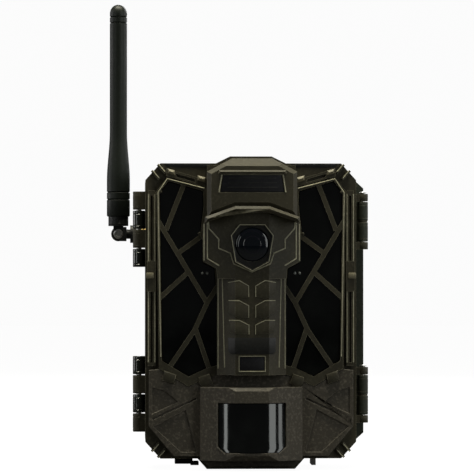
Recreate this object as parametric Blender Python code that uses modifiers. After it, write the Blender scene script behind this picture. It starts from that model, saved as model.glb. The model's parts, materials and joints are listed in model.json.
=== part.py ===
"""A trail camera as separate parts: hinged cover, housing, latches, antenna and insides.

The camera faces -Y and stands on Z = 0, with its origin on the foot of its housing.
Sizes are in millimetres, and depths are measured from the plane where the cover meets the
housing. The helpers move that plane to its place, and turn millimetres into metres.
Outlines seen from the front are X, Z; those seen from the side are Y, Z; those seen from
above are X, Y.
"""

from math import cos, pi, sin

import bmesh
import bpy
from mathutils import Vector

MM = 0.001
GAP = 0.3  # between pieces that touch
OVERLAP = 0.6  # of shapes joined into one piece
ORIGIN = Vector((0, -5.0, 0))  # from the housing's foot to the middle of the parting plane

# Casing
WIDTH = 91.0
HEIGHT = 134.8
COVER_DEPTH = 19.0
HOUSING_DEPTH = 30.0
WALL = 2.4
CORNER_X, CORNER_Z = 6.5, 7.2  # chamfers at the four corners
CREST_HALF, CREST_SHOULDER, CREST_RISE = 9.0, 15.1, 3.0
FOOT_HALF, FOOT_SHOULDER, FOOT_RISE = 19.0, 23.0, 4.5
LATCH_FLANK = 4.6  # how far the housing stands out past the cover on the latch side
FLANK_SLOPE = 0.65  # how fast that flank's ends drop away from the corners
BACK_CHAMFER = 4.0

# Hinges: four knuckles each, shared by the cover and the housing
HINGE_RADIUS = 2.55
HINGE_CLEARANCE = 0.25  # between a knuckle and the casing's side
HINGE_PIN_RADIUS = 1.2
KNUCKLE = 7.9
KNUCKLE_PITCH = 8.35
UPPER_HINGE_DROP = 14.7  # from the top of the casing
LOWER_HINGE_TOP = 48.2

# Latches
LATCH_RADIUS = 2.3
LATCH_PIN_RADIUS = 0.9
LATCH_AXIS_DEPTH = -6.0
LEVER_LENGTH = 17.2
BLADE = 1.2  # thickness of a latch's blade
LEVER_REACH = 18.8  # from the latch axis back to the hook
HOOK = 1.4
EAR = 3.2
UPPER_LATCH_DROP = 15.8
LOWER_LATCH_TOP = 43.5

# Antenna
ANTENNA_DROP = 33.1  # from the top of the casing to the swivel axis
ANTENNA_DEPTH = 12.0
JACK_RADIUS = 3.1
NUT_RADIUS = 3.9
NUT_WIDTH = 4.8
ELBOW_RADIUS = 3.2
ELBOW_STEM_RADIUS = 2.1
TONGUE_THICKNESS = 2.6
WHIP_RADIUS, WHIP_TIP_RADIUS = 5.07, 3.8
WHIP_LENGTH = 93.7
WHIP_COLLAR_RADIUS = 4.4

# Face
RAIL = 1.7  # how far the side rails stand out
PANE = 1.6
BEZEL = 1.3  # rim of a window bezel, and its band below the window
BEZEL_BAND = 2.6
BEZEL_RAISE = 2.9
RIB = 2.0
RIB_RAISE = 1.0
COLUMN_FRONT = -33.0
HOOD_FRONT = -38.0
HOOD_FACE = -35.8  # the hood's face, behind its lip
HOOD_HALF = 19.2
FACET_HALF = 7.3  # half the width of the column's flat front
COLUMN_FOOT = 40.8
LOWER_FRONT = -34.0
LOWER_PANEL = 2.6
PANEL_MARGIN = 1.5  # from the casing's side to the lower panel
GROOVE = 0.7
SENSOR_HALF, SENSOR_TOP, SENSOR_FOOT = 14.5, 28.8, 7.5

# Camera
LENS_HEIGHT = 96.1
LED_BOARD_X = 29.0
LENS_RADIUS = 7.1
BARREL_RADIUS = 5.5
MODULE_HALF = 9.0
FILTER_TRAVEL = 3.0

# Insides
GASKET = 2.4  # depth of the gasket's seat
GASKET_WIDTH = 1.8
CELL_RADIUS = 7.25
CELL_LENGTH = 50.5
CELL_SPACING = 0.7  # between cells side by side
CELLS_ACROSS = 4
CONTACT = 0.5
TRAY_WALL = 1.5
TRAY_BACK_WALL = 2.3
PANEL = 1.8  # inner panel
BUTTON_RADIUS = 3.2
CARD_WIDTH, CARD_LENGTH, CARD_THICKNESS = 24.0, 32.0, 2.1
CARD_TRAVEL = 9.0
SWITCH_TRAVEL = 2.5
BRIDGE_HALF = 34.0
BRIDGE_HEIGHT = 46.0
BRIDGE_GAP = 7.2
BRIDGE_SCREW_X = 37.0
BRIDGE_FLANGE = 2.4
SCREW_RADIUS = 1.4
TRIPOD_RADIUS = 3.1
INSERT_WALL = 1.2
INSERT_LENGTH = 7.7
TRIPOD_Y = 12.0

STYLED_WIDTH, STYLED_HEIGHT = 91.0, 134.8  # the casing that the face was drawn on

for leftover in list(bpy.data.objects):
    bpy.data.objects.remove(leftover)
PARTS = bpy.data.collections.new("trail_camera")
CUTTERS = bpy.data.collections.new("cutters")
for collection in (PARTS, CUTTERS):
    bpy.context.scene.collection.children.link(collection)

TURNS = {"front": (pi / 2, 0, 0), "side": (pi / 2, 0, pi / 2), "top": (0, 0, 0)}
THROUGH = {"front": 1, "side": 0, "top": 2}
ALONG = {"x": (0, pi / 2, 0), "y": (-pi / 2, 0, 0), "z": (0, 0, 0)}
SIDES = ((-1, "left"), (1, "right"))


def material(name, colour, roughness, metallic=0.0):
    made = bpy.data.materials.new(name)
    made.use_nodes = True
    shader = made.node_tree.nodes["Principled BSDF"]
    shader.inputs["Base Color"].default_value = (*colour, 1)
    shader.inputs["Roughness"].default_value = roughness
    shader.inputs["Metallic"].default_value = metallic
    return made


OLIVE = material("olive_plastic", (0.022, 0.020, 0.013), 0.5)
TAUPE = material("taupe_plastic", (0.045, 0.040, 0.031), 0.65)
GLOSS = material("gloss_black_plastic", (0.006, 0.007, 0.006), 0.12)
BLACK = material("black_plastic", (0.012, 0.012, 0.012), 0.45)
RUBBER = material("rubber", (0.010, 0.010, 0.010), 0.7)
GLASS = material("lens_glass", (0.004, 0.005, 0.006), 0.03)
STEEL = material("steel", (0.55, 0.55, 0.53), 0.3, 1.0)
BRASS = material("brass", (0.60, 0.42, 0.18), 0.3, 1.0)
BOARD = material("circuit_board", (0.01, 0.09, 0.03), 0.5)
CELL = material("cell_label", (0.25, 0.25, 0.26), 0.35, 0.3)


# Helpers


def new_object(name, mesh, location=(0, 0, 0), turn=(0, 0, 0)):
    made = bpy.data.objects.new(name, mesh)
    made.location = (Vector(location) + ORIGIN) * MM
    made.rotation_euler = turn
    PARTS.objects.link(made)
    return made


def new_mesh(name, form):
    mesh = bpy.data.meshes.new(name)
    form.to_mesh(mesh)
    form.free()
    return mesh


def plate(name, facing, outlines, low, high, chamfer=0.0):
    """A flat piece between two levels: the first outline is its edge, the others are holes.

    A chamfer runs around the edge on the side away from where the outline is seen, and a
    negative one on the near side.
    """
    edge, *holes = outlines
    curve = bpy.data.curves.new(name, "CURVE")
    curve.dimensions = "2D"
    curve.fill_mode = "BOTH"
    curve.extrude = (high - low) / 2 * MM
    spline = curve.splines.new("POLY")
    spline.points.add(len(edge) - 1)
    for point, (u, v) in zip(spline.points, edge):
        point.co = (u * MM, v * MM, 0, 1)
    spline.use_cyclic_u = True
    guide = bpy.data.objects.new(name, curve)
    bpy.context.scene.collection.objects.link(guide)
    graph = bpy.context.evaluated_depsgraph_get()
    mesh = bpy.data.meshes.new_from_object(guide.evaluated_get(graph))
    bpy.data.objects.remove(guide)
    bpy.data.curves.remove(curve)
    form = bmesh.new()
    form.from_mesh(mesh)
    bmesh.ops.remove_doubles(form, verts=form.verts, dist=1e-6)
    for sign in (-1, 1):
        cap = [f for f in form.faces if all(v.co.z * sign > 0 for v in f.verts)]
        bmesh.ops.dissolve_faces(form, faces=cap)
    bmesh.ops.recalc_face_normals(form, faces=form.faces)
    if chamfer:
        rim = [e for e in form.edges if all(v.co.z * chamfer < 0 for v in e.verts)]
        bmesh.ops.bevel(
            form, geom=rim, offset=abs(chamfer) * MM, segments=1, affect="EDGES", profile=0.5
        )
    form.to_mesh(mesh)
    form.free()
    mesh.name = name
    location = [0, 0, 0]
    location[THROUGH[facing]] = (low + high) / 2
    made = new_object(name, mesh, location, TURNS[facing])
    for i, hole in enumerate(holes):
        cut(made, plate(f"{name}_hole_{i}", facing, [hole], low - 1, high + 1))
    return made


def box(name, low, high):
    low, high = Vector(low), Vector(high)
    form = bmesh.new()
    bmesh.ops.create_cube(form, size=1)
    bmesh.ops.scale(form, verts=form.verts, vec=(high - low) * MM)
    return new_object(name, new_mesh(name, form), (low + high) / 2)


def rod(name, axis, radius, start, length, sides=16):
    """A cylinder that runs from start along the axis."""
    form = bmesh.new()
    bmesh.ops.create_cone(
        form,
        cap_ends=True,
        segments=sides,
        radius1=radius * MM,
        radius2=radius * MM,
        depth=abs(length) * MM,
    )
    middle = Vector(start)
    middle["xyz".index(axis)] += length / 2
    return smooth(new_object(name, new_mesh(name, form), middle, ALONG[axis]))


def turned(name, axis, profile, start, steps=20, hollow=False):
    """A turned piece: (radius, place along the axis) from the far end down its outer side."""
    points = [(r * MM, 0, z * MM) for r, z in profile]
    edges = [(i, i + 1) for i in range(len(points) - 1)]
    if hollow:
        edges.append((len(points) - 1, 0))
    mesh = bpy.data.meshes.new(name)
    mesh.from_pydata(points, edges, [])
    made = new_object(name, mesh, start, ALONG[axis])
    screw = made.modifiers.new("turn", "SCREW")
    screw.steps = screw.render_steps = steps
    screw.use_merge_vertices = True
    screw.merge_threshold = 1e-5
    screw.use_smooth_shade = True
    return made


def smooth(made):
    made.data.shade_smooth()
    made.data.set_sharp_from_angle(angle=pi / 6)
    return made


def combine(target, operation, tools):
    for tool in tools:
        PARTS.objects.unlink(tool)
        CUTTERS.objects.link(tool)
        tool.hide_render = True
        tool.display_type = "WIRE"
        tool.parent = target
        tool.matrix_parent_inverse = target.matrix_basis.inverted()
        step = target.modifiers.new(tool.name, "BOOLEAN")
        step.operation = operation
        step.object = tool
    return target


def cut(target, *tools):
    return combine(target, "DIFFERENCE", tools)


def join(target, *tools):
    return combine(target, "UNION", tools)


def common(target, *tools):
    return combine(target, "INTERSECT", tools)


def pivot(name, location, parent=None):
    made = bpy.data.objects.new(name, None)
    made.empty_display_size = 0.005
    made.location = (Vector(location) + ORIGIN) * MM
    PARTS.objects.link(made)
    made["place"] = made.location.copy()
    if parent:
        made.parent = parent
        made.location -= Vector(parent["place"])
    return made


def finish(made, finish_material, parent=None):
    """Gives a piece its material, and hangs it on its pivot."""
    made.data.materials.append(finish_material)
    if parent:
        made.parent = parent
        made.location -= Vector(parent["place"])
    return made


def inset(outline, distance):
    """The closed outline moved inwards, with its corners kept sharp."""
    points = [Vector(p) for p in outline]
    area = sum(a.x * b.y - b.x * a.y for a, b in zip(points, points[1:] + points[:1]))
    side = 1 if area > 0 else -1
    moved = []
    for i, here in enumerate(points):
        before = (here - points[i - 1]).normalized()
        after = (points[(i + 1) % len(points)] - here).normalized()
        normal = Vector((-before.y, before.x)) * side
        middle = (normal + Vector((-after.y, after.x)) * side).normalized()
        moved.append(here + middle * (distance / middle.dot(normal)))
    return [(p.x, p.y) for p in moved]


def mirrored(outline):
    return [(-x, z) for x, z in outline]


def on_side(side, left_outline):
    return left_outline if side < 0 else mirrored(left_outline)


def both_halves(right_half):
    """A closed outline from the points of its right half, top to bottom."""
    return list(right_half) + mirrored(reversed(right_half))


def bar(start, end, width):
    """The outline of a straight bar between two points."""
    start, end = Vector(start), Vector(end)
    along = (end - start).normalized()
    across = Vector((-along.y, along.x)) * width / 2
    corners = (start + across, end + across, end - across, start - across)
    return [tuple(c) for c in corners]


def rail(near, far, low, high):
    """The outline of a strip along the casing's left side, between two shares of its height."""
    return [
        (-WIDTH / 2 + x, z * HEIGHT)
        for x, z in ((near, low), (near, high), (far, high), (far, low))
    ]


def circle(centre, radius, sides):
    turns = [2 * pi * i / sides for i in range(sides)]
    return [(centre[0] + radius * cos(a), centre[1] + radius * sin(a)) for a in turns]


def face(outline):
    """An outline drawn on the styled face, stretched to this casing's size."""
    stretch_x, stretch_z = WIDTH / STYLED_WIDTH, HEIGHT / STYLED_HEIGHT
    return [(x * stretch_x, z * stretch_z) for x, z in outline]


def level(z):
    """A height on the styled face, at this casing's size."""
    return z * HEIGHT / STYLED_HEIGHT


def casing(flank=0.0):
    """The casing's edge, with its right side moved out by flank."""
    half = WIDTH / 2
    top, drop = HEIGHT - CREST_RISE, flank * FLANK_SLOPE
    left = [
        (-FOOT_HALF, 0),
        (-FOOT_SHOULDER, FOOT_RISE),
        (-half + CORNER_X, FOOT_RISE),
        (-half, FOOT_RISE + CORNER_Z),
        (-half, top - CORNER_Z),
        (-half + CORNER_X, top),
        (-CREST_SHOULDER, top),
        (-CREST_HALF, HEIGHT),
    ]
    right = mirrored(reversed(left))
    return left + [
        (x + flank, z + (drop if z < HEIGHT / 2 else -drop)) if x >= half else (x, z)
        for x, z in right
    ]


def knuckles(owner):
    """The (low, high) heights of the hinge knuckles that belong to the cover or housing."""
    first = {"cover": (0, 1), "housing": (1, 0)}[owner]
    tops = (HEIGHT - UPPER_HINGE_DROP, LOWER_HINGE_TOP)
    spans = []
    for top, start in zip(tops, first):
        for i in range(start, 4, 2):
            high = top - i * KNUCKLE_PITCH
            spans.append((high - KNUCKLE, high))
    return spans


def add_knuckles(shell, owner):
    """Joins the knuckles and their arms to a casing half, and bores them for the pins."""
    side = {"cover": -1, "housing": 1}[owner]
    for i, (low, high) in enumerate(knuckles(owner)):
        name = f"{owner}_knuckle_{i}"
        barrel = rod(name, "z", HINGE_RADIUS, (HINGE_X, 0, low), high - low)
        depths = sorted((side * GAP, side * HINGE_RADIUS))
        arm = box(
            name + "_arm",
            (HINGE_X, depths[0], low),
            (-WIDTH / 2 + OVERLAP, depths[1], high),
        )
        bore = rod(
            name + "_bore", "z", HINGE_PIN_RADIUS + GAP, (HINGE_X, 0, low - 1), high - low + 2, 12
        )
        join(shell, barrel, arm)
        cut(shell, bore)


HINGE_X = -WIDTH / 2 - HINGE_RADIUS - HINGE_CLEARANCE
LATCH_X = WIDTH / 2 + LATCH_FLANK + GAP + BLADE - LATCH_RADIUS
SWIVEL = Vector((HINGE_X - 9.0, ANTENNA_DEPTH, HEIGHT - ANTENNA_DROP))
PORT = Vector((-28.6, 6.85, FOOT_RISE))
LENS_Z = level(LENS_HEIGHT)
LATCH_TOPS = {"upper": HEIGHT - UPPER_LATCH_DROP, "lower": LOWER_LATCH_TOP}
TRAY_BACK = HOUSING_DEPTH - WALL - GAP
TRAY_FLOOR = TRAY_BACK - TRAY_BACK_WALL
CELL_Y = TRAY_FLOOR - GAP - CELL_RADIUS
CELL_PITCH = 2 * CELL_RADIUS + CELL_SPACING
TRAY_HALF = CELLS_ACROSS * CELL_PITCH / 2 + 0.4
TRAY_FOOT = FOOT_RISE + WALL + BACK_CHAMFER + 2 * GAP
FIRST_CELL = TRAY_FOOT + TRAY_WALL + CONTACT + 2 * GAP
CELL_STEP = CELL_LENGTH + CONTACT + 2 * GAP
TRAY_TOP = FIRST_CELL + 2 * CELL_STEP + GAP + TRAY_WALL
BRIDGE_FOOT = HEIGHT / 2 - BRIDGE_HEIGHT / 2
COVER_HINGE = pivot("cover_hinge", (HINGE_X, 0, HEIGHT / 2))

# The left window's edge on the styled face: its outer side, its foot, then its inner side
LEFT_WINDOW = face(
    [
        (-35.6, 124.1),
        (-39.5, 119.3),
        (-39.3, 106.4),
        (-38.4, 46.7),
        (-27.0, 39.8),
        (-18.9, 43.6),
        (-13.9, 44.9),
        (-14.6, 72.9),
        (-15.7, 86.6),
        (-20.6, 89.2),
        (-20.8, 98.7),
        (-21.9, 100.8),
        (-20.4, 113.7),
        (-20.6, 119.8),
    ]
)
WINDOW_FOOT = range(3, 7)
HEAD_STRIP = [(-36.5, 129.5), (-19.7, 124.7), (-19.7, 121.5), (-36.5, 126.3)]
HEAD_POCKET = [(-32.6, 127.4), (-24.4, 125.1), (-23.8, 123.5), (-32.0, 125.8)]
WINDOW_RIBS = [
    ((-29.0, 122.6), (-36.6, 103.0)),
    ((-40.0, 106.8), (-19.0, 71.6)),
    ((-21.0, 100.6), (-31.6, 92.9)),
    ((-27.0, 85.0), (-39.6, 73.5)),
    ((-14.6, 78.6), (-19.0, 71.6)),
    ((-19.0, 71.6), (-24.5, 59.6)),
    ((-24.5, 59.6), (-35.4, 43.6)),
    ((-24.2, 61.2), (-17.9, 42.6)),
]


def bezel_edge():
    """The outer edge of the left window's bezel, which is deepest below the window."""
    edge = inset(LEFT_WINDOW, -BEZEL)
    for i in WINDOW_FOOT:
        edge[i] = (edge[i][0], edge[i][1] - BEZEL_BAND)
    return edge


# Rear housing


def rear_housing():
    shell = plate(
        "rear_housing", "front", [casing(LATCH_FLANK)], GAP, HOUSING_DEPTH, BACK_CHAMFER
    )
    inner = inset(casing(LATCH_FLANK), WALL)
    cut(shell, plate("housing_hollow", "front", [inner], -2, HOUSING_DEPTH - WALL, BACK_CHAMFER))
    ledge = plate(
        "gasket_ledge",
        "front",
        [
            inset(casing(LATCH_FLANK), WALL - OVERLAP),
            inset(casing(), WALL + GASKET_WIDTH + OVERLAP),
        ],
        GASKET,
        GASKET + 1.4,
    )
    brim = plate(
        "latch_brim",
        "front",
        [inset(casing(LATCH_FLANK), WALL - OVERLAP), inset(casing(), WALL)],
        GAP,
        GASKET + OVERLAP,
    )
    bore = TRIPOD_RADIUS + INSERT_WALL + GAP
    boss = rod("tripod_boss", "z", bore + 1.9, (0, TRIPOD_Y, 0.8), INSERT_LENGTH + 1.3)
    screw_bosses = [
        box(
            f"bridge_boss_{side}",
            (side * BRIDGE_SCREW_X - 3, HOUSING_DEPTH - WALL - 1.6, HEIGHT / 2 - 3),
            (side * BRIDGE_SCREW_X + 3, HOUSING_DEPTH - WALL + OVERLAP, HEIGHT / 2 + 3),
        )
        for side in (-1, 1)
    ]
    join(shell, ledge, brim, boss, *screw_bosses)
    add_knuckles(shell, "housing")
    cut(
        shell,
        rod("tripod_bore", "z", bore, (0, TRIPOD_Y, -1), INSERT_LENGTH + 1.8),
        rod("antenna_bore", "x", JACK_RADIUS + GAP, (-WIDTH / 2 - 2, *SWIVEL.yz), 2 * WALL + 3),
        box("port_opening", PORT - Vector((3.1, 2.8, 2)), PORT + Vector((3.1, 2.8, WALL + 2))),
        *(
            rod(
                f"screw_bore_{side}",
                "y",
                SCREW_RADIUS + GAP,
                (side * BRIDGE_SCREW_X, HOUSING_DEPTH - WALL - 3, HEIGHT / 2),
                WALL + 5,
                12,
            )
            for side in (-1, 1)
        ),
        *(
            box(
                f"catch_{name}",
                (WIDTH / 2 + LATCH_FLANK - HOOK, -1, top - EAR - LEVER_LENGTH - 1),
                (WIDTH, LATCH_AXIS_DEPTH + LEVER_REACH + 0.6, top - EAR + 1),
            )
            for name, top in LATCH_TOPS.items()
        ),
    )
    finish(smooth(shell), OLIVE)
    gasket = plate(
        "casing_gasket",
        "front",
        [
            inset(casing(), WALL + GAP),
            inset(casing(), WALL + GAP + GASKET_WIDTH),
        ],
        0,
        GASKET - GAP,
    )
    finish(gasket, RUBBER)


def battery_pack():
    tray = box(
        "battery_tray",
        (-TRAY_HALF - TRAY_WALL, CELL_Y - CELL_RADIUS - GAP, TRAY_FOOT),
        (TRAY_HALF + TRAY_WALL, TRAY_BACK, TRAY_TOP),
    )
    hollow = box(
        "tray_hollow",
        (-TRAY_HALF, 0, TRAY_FOOT + TRAY_WALL),
        (TRAY_HALF, TRAY_FLOOR, TRAY_TOP - TRAY_WALL),
    )
    finish(cut(tray, hollow), BLACK)
    for row in range(2):
        foot = FIRST_CELL + row * CELL_STEP
        for column in range(CELLS_ACROSS):
            x = (column - (CELLS_ACROSS - 1) / 2) * CELL_PITCH
            nub, body = 2.75, CELL_LENGTH - 1.2
            profile = [
                (0, CELL_LENGTH),
                (nub, CELL_LENGTH),
                (nub, body),
                (CELL_RADIUS - 0.8, body),
                (CELL_RADIUS, body - 0.8),
                (CELL_RADIUS, 0),
                (0, 0),
            ]
            if column % 2:
                profile = [(r, CELL_LENGTH - z) for r, z in reversed(profile)]
            number = row * CELLS_ACROSS + column + 1
            finish(turned(f"cell_{number}", "z", profile, (x, CELL_Y, foot), 16), CELL)
    for i, name in enumerate(("bottom", "middle", "top")):
        height = FIRST_CELL - GAP - CONTACT + i * CELL_STEP
        contact = box(
            f"contact_{name}",
            (-TRAY_HALF + GAP, CELL_Y - CELL_RADIUS + 1, height),
            (TRAY_HALF - GAP, TRAY_FLOOR - GAP, height + CONTACT),
        )
        finish(contact, STEEL)


def housing_insides():
    inner = -WIDTH / 2 + WALL
    modem = box(
        "radio_board",
        (inner + 2.0, 6, SWIVEL.z - 52),
        (inner + 3.6, HOUSING_DEPTH - WALL - BACK_CHAMFER, SWIVEL.z - 8),
    )
    for i in range(3):
        foot = SWIVEL.z - 48 + i * 13
        join(modem, box(f"radio_chip_{i}", (inner + 3.3, 9, foot), (inner + 5.4, 20, foot + 9)))
    finish(modem, BOARD)
    jack = box(
        "power_jack",
        PORT + Vector((-4.6, -2.6, WALL + GAP)),
        PORT + Vector((4.6, 2.6, WALL + 10)),
    )
    hole = rod("power_jack_bore", "z", 1.9, PORT, 9)
    pin = rod("power_jack_pin", "z", 0.6, PORT + Vector((0, 0, WALL + 1.5)), 7.5, 8)
    finish(join(cut(jack, hole), pin), BLACK)
    outer, top = TRIPOD_RADIUS + INSERT_WALL, GAP + INSERT_LENGTH
    profile = [(outer, top), (outer, GAP), (TRIPOD_RADIUS, GAP), (TRIPOD_RADIUS, top)]
    insert = turned("tripod_insert", "z", profile, (0, TRIPOD_Y, 0), hollow=True)
    finish(insert, BRASS)
    tab = box("lock_tab", (27.6, 4, 0.2), (29.4, 18, FOOT_RISE - GAP))
    finish(cut(tab, rod("lock_tab_hole", "x", 1.2, (26, 8, 2.5), 5, 12)), STEEL)


def strap_bridge():
    """A bridge across the back, under which a mounting strap passes."""
    back = HOUSING_DEPTH + GAP
    bar_front = HOUSING_DEPTH + BRIDGE_GAP
    outline = [
        (0, bar_front + 1.4),
        (22, bar_front + 3),
        (26, bar_front + 3),
        (BRIDGE_HALF - 1, back + BRIDGE_FLANGE),
        (BRIDGE_HALF + 6, back + BRIDGE_FLANGE),
        (BRIDGE_HALF + 6, back),
        (BRIDGE_HALF - 5, back),
        (23, bar_front),
    ]
    outline += [(-x, y) for x, y in reversed(outline[1:])]
    bridge = plate("strap_bridge", "top", [outline], BRIDGE_FOOT, BRIDGE_FOOT + BRIDGE_HEIGHT)
    for side, name in SIDES:
        x = side * BRIDGE_SCREW_X
        cut(
            bridge,
            rod(f"bridge_bore_{name}", "y", SCREW_RADIUS + GAP, (x, back - 1, HEIGHT / 2), 6, 12),
        )
        head = back + BRIDGE_FLANGE + GAP
        profile = [
            (0, head + 2.2),
            (2.0, head + 2.0),
            (2.8, head + 1.2),
            (2.8, head),
            (SCREW_RADIUS, head),
            (SCREW_RADIUS, HOUSING_DEPTH - WALL - 1.5),
            (0, HOUSING_DEPTH - WALL - 1.5),
        ]
        screw = turned(f"bridge_screw_{name}", "y", profile, (x, 0, HEIGHT / 2), 16)
        finish(screw, STEEL)
    finish(bridge, OLIVE)


# Front cover


def front_cover():
    shell = plate("front_cover", "front", [casing()], -COVER_DEPTH, -GAP)
    hollow = plate("cover_hollow", "front", [inset(casing(), WALL)], -COVER_DEPTH + WALL, 2)
    cut(shell, hollow)
    front = -COVER_DEPTH
    for side, name in SIDES:
        outlines = {
            f"rail_{name}": (rail(1.1, 4.3, 0.33, 0.89), RAIL),
            f"side_clip_{name}": (rail(0.7, 4.5, 0.5675, 0.6647), 2.4),
            f"head_strip_{name}": (face(HEAD_STRIP), RAIL),
        }
        for i in range(2):
            for foot, base, up in (("top", HEIGHT - CREST_RISE, -1), ("bottom", FOOT_RISE, 1)):
                shift = 1.2 + 2.6 * i
                start = Vector((CORNER_X - WIDTH / 2 - shift, base + up * (shift - 0.6)))
                rib = bar(start, start + Vector((3.2, 3.6 * up)), 1.0)
                outlines[f"corner_rib_{name}_{foot}_{i}"] = (rib, 1.5)
        pieces = {
            piece: plate(piece, "front", [on_side(side, o)], front - proud, front + OVERLAP)
            for piece, (o, proud) in outlines.items()
        }
        sunk = {
            f"rail_{name}": rail(2.1, 3.2, 0.34, 0.875),
            f"head_strip_{name}": face(HEAD_POCKET),
        }
        for piece, outline in sunk.items():
            lane = plate(piece + "_lane", "front", [on_side(side, outline)], front - 4, front - 0.4)
            cut(pieces[piece], lane)
        join(shell, *pieces.values())
        opening = on_side(side, inset(LEFT_WINDOW, 1.2))
        cut(shell, plate(f"window_opening_{name}", "front", [opening], front - 1, front + 6))
    add_knuckles(shell, "cover")
    for name, top in LATCH_TOPS.items():
        for i, low in enumerate((top - EAR, top - 2 * EAR - LEVER_LENGTH - 2 * GAP)):
            high = low + EAR
            ear = rod(f"{name}_ear_{i}", "z", LATCH_RADIUS, (LATCH_X, LATCH_AXIS_DEPTH, low), EAR)
            arm = box(
                f"{name}_ear_arm_{i}",
                (WIDTH / 2 - OVERLAP, LATCH_AXIS_DEPTH - 1.9, low),
                (LATCH_X, LATCH_AXIS_DEPTH + 1.9, high),
            )
            bore = rod(
                f"{name}_ear_bore_{i}",
                "z",
                LATCH_PIN_RADIUS + GAP,
                (LATCH_X, LATCH_AXIS_DEPTH, low - 1),
                EAR + 2,
                12,
            )
            join(shell, ear, arm)
            cut(shell, bore)
    cut(
        shell,
        box("camera_opening", (-10.5, front - 1, level(60)), (10.5, front + 6, level(112))),
        box("sensor_opening", (-7, front - 1, level(10)), (7, front + 6, level(27))),
    )
    finish(shell, OLIVE, COVER_HINGE)


def windows():
    front = -COVER_DEPTH - GAP
    for side, name in SIDES:
        rim = plate(
            f"window_bezel_{name}",
            "front",
            [on_side(side, bezel_edge()), on_side(side, LEFT_WINDOW)],
            front - BEZEL_RAISE,
            front,
        )
        for i, (start, end) in enumerate(WINDOW_RIBS):
            rib = bar(*face([start, end]), RIB)
            join(
                rim,
                plate(
                    f"window_rib_{name}_{i}",
                    "front",
                    [on_side(side, rib)],
                    front - BEZEL_RAISE + 0.1,
                    front - BEZEL_RAISE + RIB_RAISE,
                ),
            )
        finish(rim, OLIVE, COVER_HINGE)
        pane = plate(
            f"infrared_window_{name}",
            "front",
            [on_side(side, inset(LEFT_WINDOW, GAP))],
            front - PANE,
            front,
        )
        finish(pane, GLOSS, COVER_HINGE)
        x = side * LED_BOARD_X * WIDTH / STYLED_WIDTH
        low, high = level(56), level(112)
        board_y = -COVER_DEPTH + WALL + 1.2
        board = box(
            f"led_board_{name}", (x - 7.5, board_y, low), (x + 7.5, board_y + 1.4, high)
        )
        for row in range(6):
            for column in (-1, 1):
                height = low + (row + 0.5) * (high - low) / 6
                centre = (x + column * 3.6, board_y - 2.2, height)
                join(board, rod(f"led_{name}_{row}_{column}", "y", 2.0, centre, 2.6, 8))
        finish(board, BOARD, COVER_HINGE)


def faceted(half, front, side_front, back):
    """A plan outline with a flat front and sides that slant back."""
    return [
        (half, back),
        (half, side_front),
        (FACET_HALF, front),
        (-FACET_HALF, front),
        (-half, side_front),
        (-half, back),
    ]


def face_column():
    back = -COVER_DEPTH - GAP
    bezel_front = back - BEZEL_RAISE - 2 * GAP
    edge = inset(LEFT_WINDOW, -BEZEL - GAP)[6:]
    top_x = edge[-1][0]
    left = [(edge[0][0], level(COLUMN_FOOT)), *edge[1:], (top_x, HEIGHT - CREST_RISE - 1)]
    base_outline = left + mirrored(reversed(left))
    column = plate("face_column", "front", [base_outline], bezel_front - OVERLAP, back)
    plan = faceted(14.8, COLUMN_FRONT, -26, bezel_front)
    lower = plate("column_lower", "top", [plan], level(COLUMN_FOOT), level(88))
    plan = faceted(20.9, COLUMN_FRONT, -28, bezel_front)
    block = plate("lens_block", "top", [plan], level(82), level(109))
    shape = both_halves(
        face([(19.3, 109), (20.9, 105), (20.9, 89.6), (15.2, 86.4), (14.8, 82)])
    )
    common(block, plate("lens_block_edge", "front", [shape], -60, 0))
    crest, eave, arch = level(133.5), level(127.7), level(112.9)
    arch_foot = level(108.3)
    brow = both_halves([(8.5, crest), (HOOD_HALF, eave), (HOOD_HALF, arch_foot), (FACET_HALF, arch)])
    hood = plate("hood", "front", [brow], HOOD_FACE, bezel_front, -1.7)
    profile = [
        (back - 2.5, crest + 1),
        (HOOD_FACE + 6.6, crest + 1),
        (HOOD_FACE, level(130.1)),
        (HOOD_FACE, level(100)),
        (back - 2.5, level(100)),
    ]
    common(hood, plate("hood_slope", "side", [profile], -40, 40))
    lip = both_halves(
        [
            (FACET_HALF, arch),
            (HOOD_HALF + 0.9, arch_foot),
            (HOOD_HALF + 0.9, arch_foot - 2.2),
            (FACET_HALF, arch - 2.6),
        ]
    )
    ridge_top = level(128.2)
    ridge = both_halves([(14.2, ridge_top), (14.6, ridge_top - 1.4)])
    join(
        hood,
        plate("hood_lip", "front", [lip], HOOD_FRONT, bezel_front, -1.1),
        plate("hood_ridge", "front", [ridge], HOOD_FACE - 1.0, HOOD_FACE + OVERLAP, -0.6),
    )
    plan = faceted(16, COLUMN_FRONT, -27, bezel_front)
    web = plate("hood_web", "top", [plan], level(104), level(124))
    join(column, lower, block, web, hood)
    plaques = (
        (((12.7, 126.4), (14.0, 118.7)), HOOD_FACE),
        (((5.5, 48.8), (5.5, 42.6)), COLUMN_FRONT),
    )
    hollow = [(10.5, back + 2), (10.5, -25), (5.5, -30.2)]
    hollow += [(-x, y) for x, y in reversed(hollow)]
    cut(
        column,
        *(
            plate(f"plaque_{i}", "front", [both_halves(face(half))], front - 2, front + 0.5)
            for i, (half, front) in enumerate(plaques)
        ),
        plate("column_hollow", "top", [hollow], level(45), level(122)),
        rod("lens_bore", "y", LENS_RADIUS, (0, COLUMN_FRONT - 1, LENS_Z), 12),
    )
    finish(smooth(column), OLIVE, COVER_HINGE)


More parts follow.
